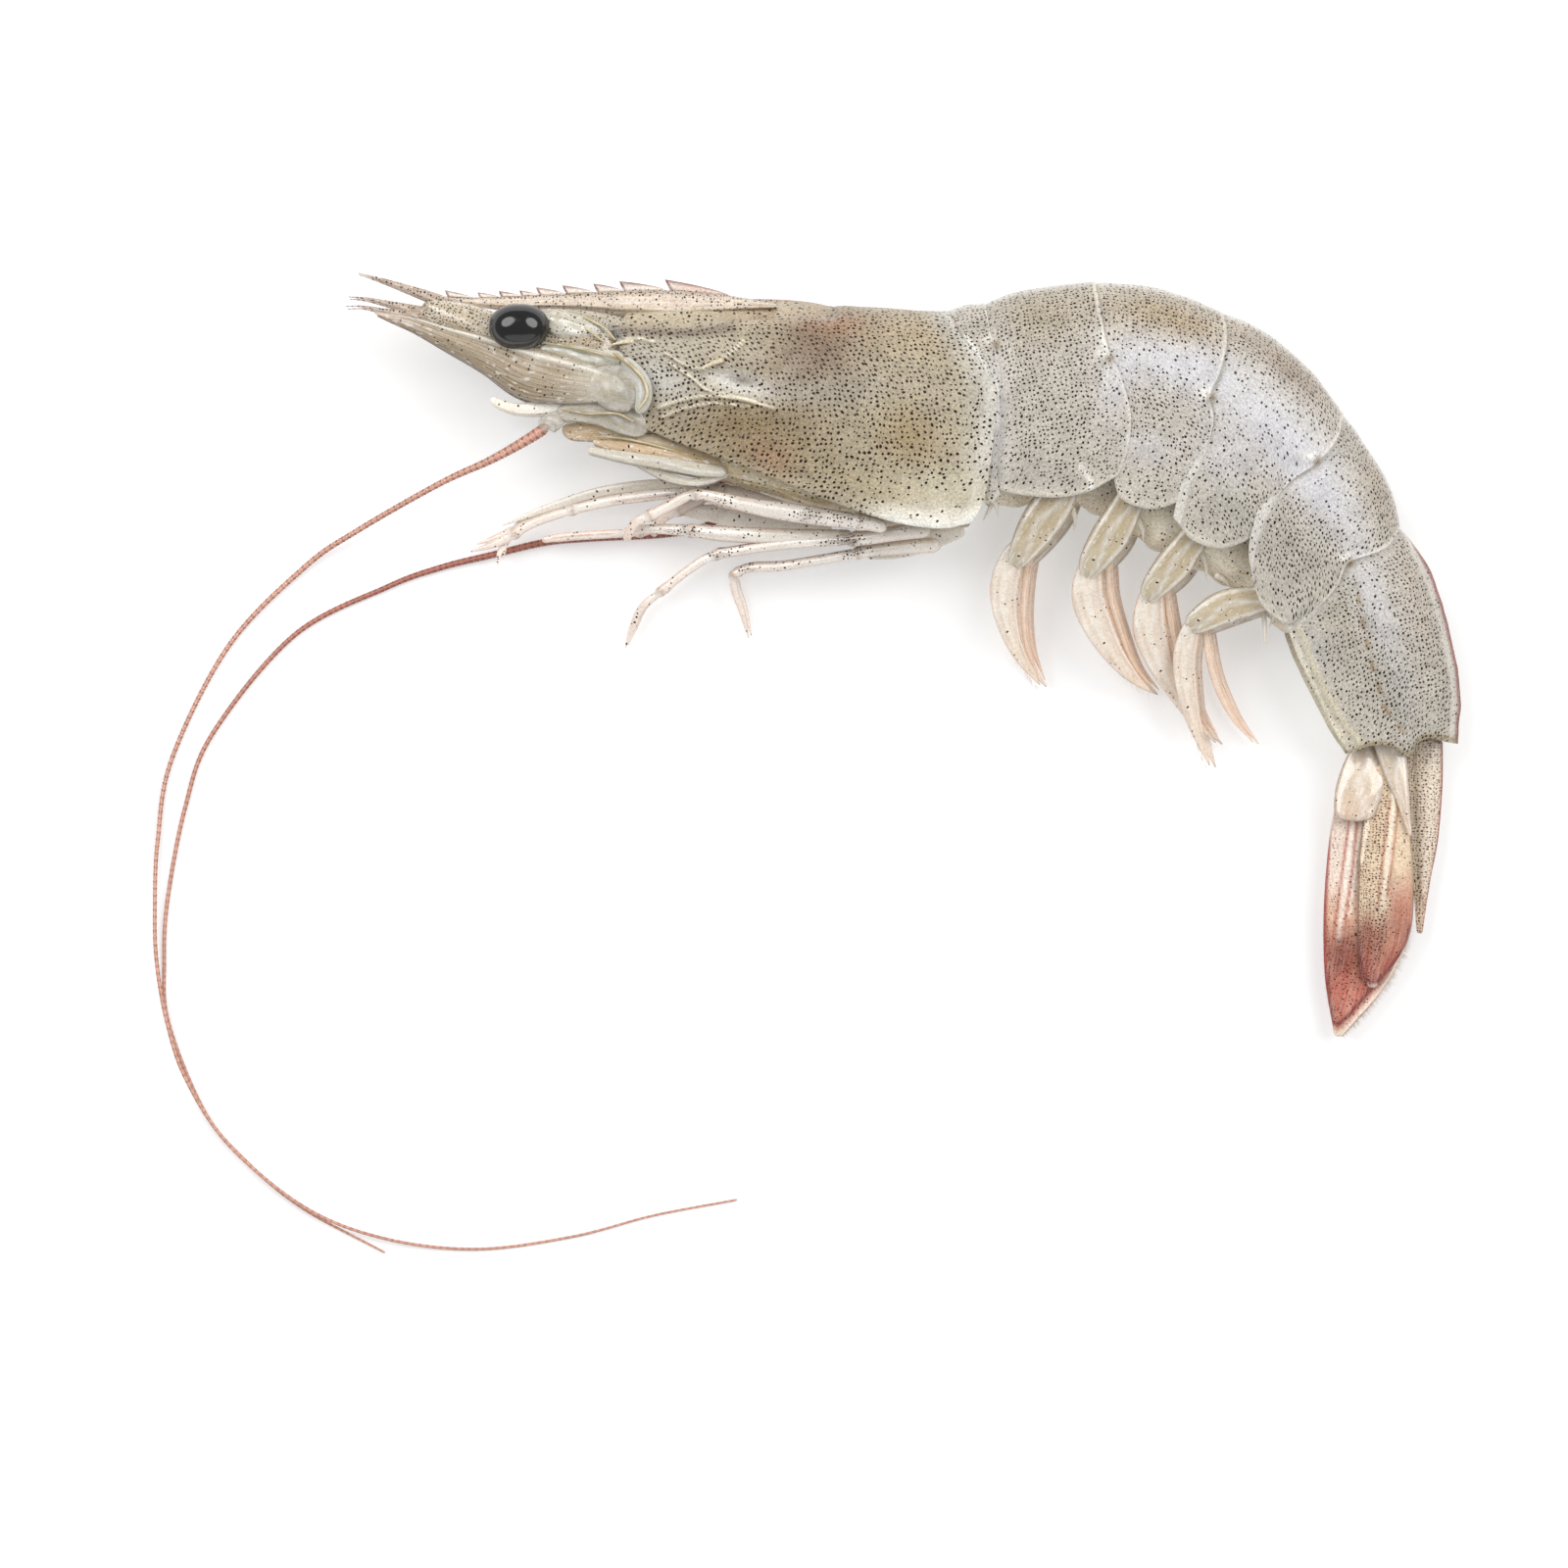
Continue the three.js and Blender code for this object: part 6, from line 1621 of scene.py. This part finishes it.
def inner_blade_paint(xy, u, v, top):
    """A speckled beige middle, golden edge lines, and pink to brownish red towards the end."""
    down = -xy[..., 1] + 0.4 * np.sin(2.7 * xy[..., 0])
    ribs = np.clip(sum(near(xy, line, width) for line, width, _ in INNER_RIBS), 0, 1)
    lines = on_any(xy, INNER_LINES, 0.15)
    pink = ramp(v, 0.0, 0.3) * ramp(down, 52, 58)
    hem = near(xy, INNER_HEM, 0.25)
    tint = painted(
        xy.shape[:2], "#d4bb9c", (0.7 * ramp(v, 0.1, 0.5), "#e2caab"), (0.85 * pink, "#ab5a42"),
        (0.9 * ramp(down, 57, 61) * (1 - 0.6 * pink), "#863010"), (0.8 * ramp(down, 61.5, 65), "#983822"),
        (0.12 * np.cos(40 * v) ** 2, "#e0cdb6"), (0.8 * ribs * (1 - 0.6 * ramp(down, 54, 60)), "#f5e8d4"),
        (0.8 * lines, "#a8552a"),
        (0.8 * ramp(v, 0.9, 0.97) * (1 - ramp(down, 55, 60)), "#8f7940"),
        (0.8 * ramp(-v, 0.9, 0.97), "#8a5a38"), (0.95 * hem, "#74180f"),
        (0.6 * ramp(u, 0.97, 0.995), "#e3cfc0"),
    )
    return tint, (1 - 0.92 * ramp(v, 0.05, 0.25)) * (1 - ribs) * ramp(u, 0.03, 0.15)


def telson_paint(xy, u, v, top):
    """Grey beige with fine specks, an olive groove, a pale ridge and a dark red edge.

    Along the edge towards the head an olive tone is painted shade.
    """
    ridge, groove = (near(xy, line, width) for line, width, _ in TELSON_RIBS)
    # The olive tone along the edge towards the head is painted shade.
    tint = painted(xy.shape[:2], "#dac8b3", (0.6 * ramp(u, 0.5, 0.95), "#dfb99c"), (0.4 * ridge, "#e8dccb"),
                   (0.5 * groove, "#8d7b4c"), (0.9 * ramp(v, 0.84, 0.93), "#973426"),
                   (0.7 * ramp(-v, 0.88, 0.96), "#84754a"))
    return tint, (1 - 0.4 * ridge) * np.ones(xy.shape[:2])


lump_paint = limb_paint("#cdbca6", "#d2b79f", highlight_tone="#ffffff", edge="#84623a", top_highlight=0.35, rim=0.7,
                        specks=0.02, rim_highlight=0.3, threads=0.1)
limb_piece("telson_spear", blade_rows(*TELSON, (TAIL_AXIS, TAIL_TIP_AXIS)), tail_blade, "tail_blade",
           telson_paint, "telson", steps=90, around=48, flat=0.24, ends=(0.4, 1.0),
           relief=ribbed(TELSON_RIBS))
for side, sign in SIDES:
    for part, edges, paint, ribs, (root, tip), depth in (
            ("outer", OUTER, outer_blade_paint, OUTER_RIBS, (0.7, 0.6), 0.3),
            ("inner", INNER, inner_blade_paint, INNER_RIBS, (1.9, 1.5), 0.35)):
        rows = blade_rows(*edges, (TAIL_AXIS + sign * root, TAIL_TIP_AXIS + sign * tip))
        rows[:, 0] += TAIL_SHIFT[side]
        limb_piece(f"tail_{part}_{side}_blade", rows, tail_blade, "tail_blade", paint,
                   f"tail_{part}_{side}", steps=120, around=80, flat=0.3, depth=depth, ends=(0.3, 1.0),
                   relief=ribbed(ribs))
    for part, edges, (root, tip), flat, ends in TAIL_LUMPS:
        rows = blade_rows(*edges, (TAIL_AXIS + sign * root, TAIL_AXIS + sign * tip))
        rows[:, 0] += TAIL_SHIFT[side]
        node = f"tail_base_{side}" if part == "base" else None
        limb_piece(f"tail_{part}_{side}_lump", rows, head_glass, "tail_blade", lump_paint, node,
                   steps=30, around=30, flat=flat, ends=ends, relief=lump_relief)
print("tail blades are in place")

# %% Fringe of the tail fan
for side, sign in SIDES:
    shift = [TAIL_SHIFT[side], 0.0]
    edge = np.array(OUTER[1])[2:] + shift
    edge_hairs(f"tail_fringe_{side}", edge, TAIL_TIP_AXIS + sign * 0.6, (0.7, 1.0, 0.9, 0.7), 0.09,
               (-20, -38, -62), ("#e6d3c2", "#f4eadf"), width=0.022, spread=0.15)
    edge_hairs(f"tail_side_hairs_{side}", np.array(OUTER[0])[3:6] + shift, TAIL_TIP_AXIS + sign * 0.6,
               (0.25, 0.3), 0.35, (200, 190), ("#cdb5a0", "#e2d2c2"), width=0.018)
print("tail fringe is in place")

# %% [markdown]
# ## Long antennae
# Two thin whips leave the head, run down to the table and sweep back below the animal in a wide arc.
# They are made of short rings, two or three to a millimetre, and are dotted dark red.

# %% Long antennae
ANTENNA_LEFT = [
    [-56.6, -3.9, 0.66, 10.4], [-58.9, -5.4, 0.6, 9.6], [-63.2, -7.7, 0.46, 8], [-68.9, -10.2, 0.36, 5.6],
    [-78.2, -15.3, 0.33, 2], [-84.4, -19.5, 0.31, 0.6], [-93, -28.4, 0.27, 0.3], [-99.4, -41.1, 0.25, 0.3],
    [-101, -50.4, 0.24, 0.6], [-101.3, -57.8, 0.23, 1], [-101.1, -64.1, 0.23, 1], [-99.9, -71, 0.22, 1],
    [-97.8, -77.3, 0.21, 1], [-93, -84.7, 0.2, 1], [-84.6, -91.7, 0.19, 0.95], [-75.7, -95.3, 0.18, 0.6],
    [-65.2, -96.6, 0.17, 0.2], [-54.2, -95.2, 0.15, 0.2], [-45, -92.8, 0.13, 0.2], [-35.5, -91, 0.12, 0.2],
]
ANTENNA_RIGHT = [
    [-45.6, -7.2, 0.49, 3], [-39.6, -8.8, 0.49, 2.2], [-36.5, -11.4, 0.47, 1.2], [-38.5, -14.6, 0.46, 0.7],
    [-43.5, -15.7, 0.45, 0.6], [-52.2, -16.2, 0.44, 0.6], [-57.3, -16.7, 0.42, 0.6],
    [-63.2, -18.1, 0.39, 0.5], [-68.9, -19.5, 0.36, 0.4], [-75, -21.7, 0.32, 0.35],
    [-85.6, -27.2, 0.29, 0.3], [-94.8, -38.3, 0.26, 0.3], [-97.9, -46.6, 0.24, 0.3],
    [-99.9, -57, 0.23, 0.25], [-100.3, -64.1, 0.22, 0.25], [-99.8, -71, 0.21, 0.25],
    [-95.7, -81.1, 0.2, 0.25], [-91, -86.7, 0.19, 0.25], [-84.6, -92, 0.17, 0.2], [-75.3, -97, 0.12, 0.2],
]
RING_COUNT = 420


def whip_relief(xy, u, v, top):
    """Short rings, each a little swollen at its end."""
    return 0.035 * np.sin(2 * np.pi * RING_COUNT * u) * ramp(1 - u, 0.3, 0.8)


def whip_paint_red(xy, u, v, top):
    """Salmon red with a painted highlight line on top, dark dotted edges and a paler tip."""
    dots = (np.sin(2 * np.pi * RING_COUNT * 0.5 * u) > 0.2) * bell(abs(v), 0.75, 0.3)
    # A pale line of painted highlight runs along the top of the whip.
    tint = painted(xy.shape[:2], "#cb947e", (0.6 * bell(v, 0, 0.3) * (top > 0), "#e3b7a3"),
                   (0.85 * dots, "#7a2f20"), (0.35 * ramp(u, 0.5, 1.0), "#c98f7c"))
    return tint, np.zeros(xy.shape[:2])


def whip_paint_dark(xy, u, v, top):
    """The same whip, deeper red over its first half."""
    tint, amount = whip_paint_red(xy, u, v, top)
    return tint * (1 - (1 - ramp(u, 0.3, 0.7))[..., None] * [0.35, 0.6, 0.65]), amount


for side, rows, paint in (("left", ANTENNA_LEFT, whip_paint_red),
                          ("right", ANTENNA_RIGHT, whip_paint_dark)):
    limb_piece(f"antenna_{side}_whip", rows, antenna_red, "antenna", paint, f"antenna_{side}",
               steps=1800, around=8, flat=1.0, relief=whip_relief, turns=3)
print("antennae are in place")

# %% [markdown]
# ## Beak and spines
# The saddle runs out over the eyes in a flat toothed beak. Each tooth has a steep front edge and a
# long slope behind it, drawn here as a top line whose height jumps at every tooth. One small spine
# stands behind the eye and one on the cheek.

# %% Beak
BEAK_TOP = [[-68.3, 10.7], [-64.3, 10.6], [-57.6, 10.9], [-51, 11.2], [-45.6, 11.4], [-43, 11.4],
            [-36.9, 10.9], [-31, 9.9]]
BEAK_LOW = [[-68.3, 10.6], [-65.5, 9.7], [-61, 9.1], [-56.6, 9], [-52.2, 8.7], [-47.9, 8.1], [-41.2, 7.7],
            [-31, 9]]
TOOTH_TIPS = [-67.9, -64.3, -61.9, -59.6, -57.6, -54.6, -51.1, -48.1, -42.9]
TOOTH_SLOPES = [2.8, 2.1, 2.1, 1.9, 2.8, 3.1, 3.0, 4.6, 6.6]
TOOTH_RISES = [0.75, 0.6, 0.65, 0.6, 0.85, 0.95, 1.0, 1.15, 1.25]
HOOK = 0.6
RED_FROM, RED_TO = -46.0, -40.0


def tooth_rise(x):
    """The height a tooth adds at x: a steep rounded front edge, then a slope down to the line."""
    rise = np.zeros_like(x)
    for tip, slope, height in zip(TOOTH_TIPS, TOOTH_SLOPES, TOOTH_RISES):
        back = (x - tip) / slope
        front = ramp(x, tip - 0.12, tip + 0.08)
        rise = np.maximum(rise, height * front * np.clip(1 - back, 0, 1) ** 0.65)
    return rise


def beak():
    """A thin two-sided blade between the top line with its teeth and the lower line."""
    fronts = np.concatenate([tip + np.array([-0.14, -0.07, 0.0, 0.08, 0.2]) for tip in TOOTH_TIPS])
    base = np.linspace(BEAK_TOP[0][0], BEAK_TOP[-1][0], 300)
    x = np.unique(np.concatenate([base, fronts]))
    top_line, low_line = along(BEAK_TOP, np.linspace(0, 1, 400)), along(BEAK_LOW, np.linspace(0, 1, 400))
    top_y = np.interp(x, top_line[:, 0], top_line[:, 1])
    low_y = np.interp(x, low_line[:, 0], low_line[:, 1])
    rise = tooth_rise(x)
    q = np.linspace(0, 1, 26)[None, :]
    y = low_y[:, None] + (top_y - low_y)[:, None] * np.clip(q / 0.75, 0, 1)
    y = y + rise[:, None] * ramp(q, 0.75, 1.0)
    thick = 0.95 * np.sin(np.pi * np.clip(q / 0.8, 0, 1) ** 0.7) ** 0.7 * ramp(x[:, None], x[0], x[0] + 12)
    thick = np.maximum(thick, 0.12) * (1 - 0.25 * bell(q, 0.45, 0.08))
    thick = thick * (1 + 0.35 * bell(q, 0.28, 0.06))
    widen = 1 + 2.0 * ramp(x[:, None], x[0] + 14, x[-1])
    thick = np.where(q < 0.75, thick * widen, 0.14 + 0.12 * (1 - q))
    hook = x[:, None] - HOOK * rise[:, None] * ramp(q, 0.75, 1.0) ** 2
    left, right = np.dstack([hook, y, MID + thick]), np.dstack([hook, y, MID - thick])
    return np.concatenate([left, right[:, ::-1]], axis=1), x, np.concatenate([q, q[:, ::-1]], axis=1), rise


def beak_piece():
    """The beak as one closed mesh with its colours: pale teeth, red fronts and a speckled side."""
    loops, x, q, rise = beak()
    rows, columns = loops.shape[:2]
    shape = (rows, columns)
    x_all = np.broadcast_to(x[:, None], shape)
    has_tooth = np.broadcast_to(ramp(rise, 0.03, 0.12)[:, None], shape)
    red = ramp(x_all, RED_FROM, RED_TO)
    fronts = sum(bell(x_all - tip, 0.04, 0.1) for tip in TOOTH_TIPS) * ramp(q, 0.76, 0.8)
    tint = painted(
        shape, "#c6b39d", (0.6 * bell(q, 0.5, 0.12), "#e3d5c6"),
        (0.5 * bell(q, 0.7, 0.05), "#8c7a66"), (0.45 * bell(q, 0.2, 0.08), "#a29078"),
        (0.9 * ramp(q, 0.78, 0.85) * has_tooth, "#efe4d8"), (0.4 * ramp(q, 0.78, 0.85) * red, "#b4776a"),
        (0.95 * fronts, "#6b2f24"), (0.95 * ramp(q, 0.9, 0.94), "#74382b"),
        (0.6 * bell(q, 0.76, 0.025), "#6e5344"),
    )
    amount = (0.3 + 0.7 * ramp(q, 0.55, 0.65)) * (1 - ramp(q, 0.76, 0.82)) * np.ones(shape)
    total = np.arange(columns // 2 - 1)
    caps = np.stack([total + 1, total, columns - 1 - total, columns - 2 - total], -1)
    last = caps[:, ::-1] + (rows - 1) * columns
    faces = [grid_faces(rows, columns, True), caps, last]
    place = np.dstack([loops[..., 0], loops[..., 1]]).reshape(-1, 2)
    fields = {"tint": with_alpha(tint.reshape(-1, 3)), "specks": amount.reshape(-1, 1)}
    piece = put_mesh("beak_blade", loops.reshape(-1, 3), faces, [place[face] for face in faces], fields)
    return finish_piece(piece, beak_glass)


beak_piece()
thorn_paint = limb_paint("#cfc0a4", "#e6d9bd", edge="#8b6f48", top_highlight=0.4, rim=0.3, specks=0.0)
SPINES = [[[-46.8, 5.5, 0.34], [-48.1, 5.4, 0.26], [-49.4, 5.1, 0.06]],
          [[-36.9, 3.3, 0.3], [-38.1, 2.9, 0.26], [-39.4, 2.3, 0.06]]]
SPINE_HEIGHTS = [(3.9, 4.5), (6.7, 7.4)]
for side, sign in SIDES:
    for number, (rows, outs) in enumerate(zip(SPINES, SPINE_HEIGHTS), 1):
        limb_piece(f"spine_{number}_{side}", beside_middle(rows, sign, outs), carapace_shell,
                   "carapace_shell", thorn_paint, steps=24, around=14, flat=1.0)
print("beak is in place")
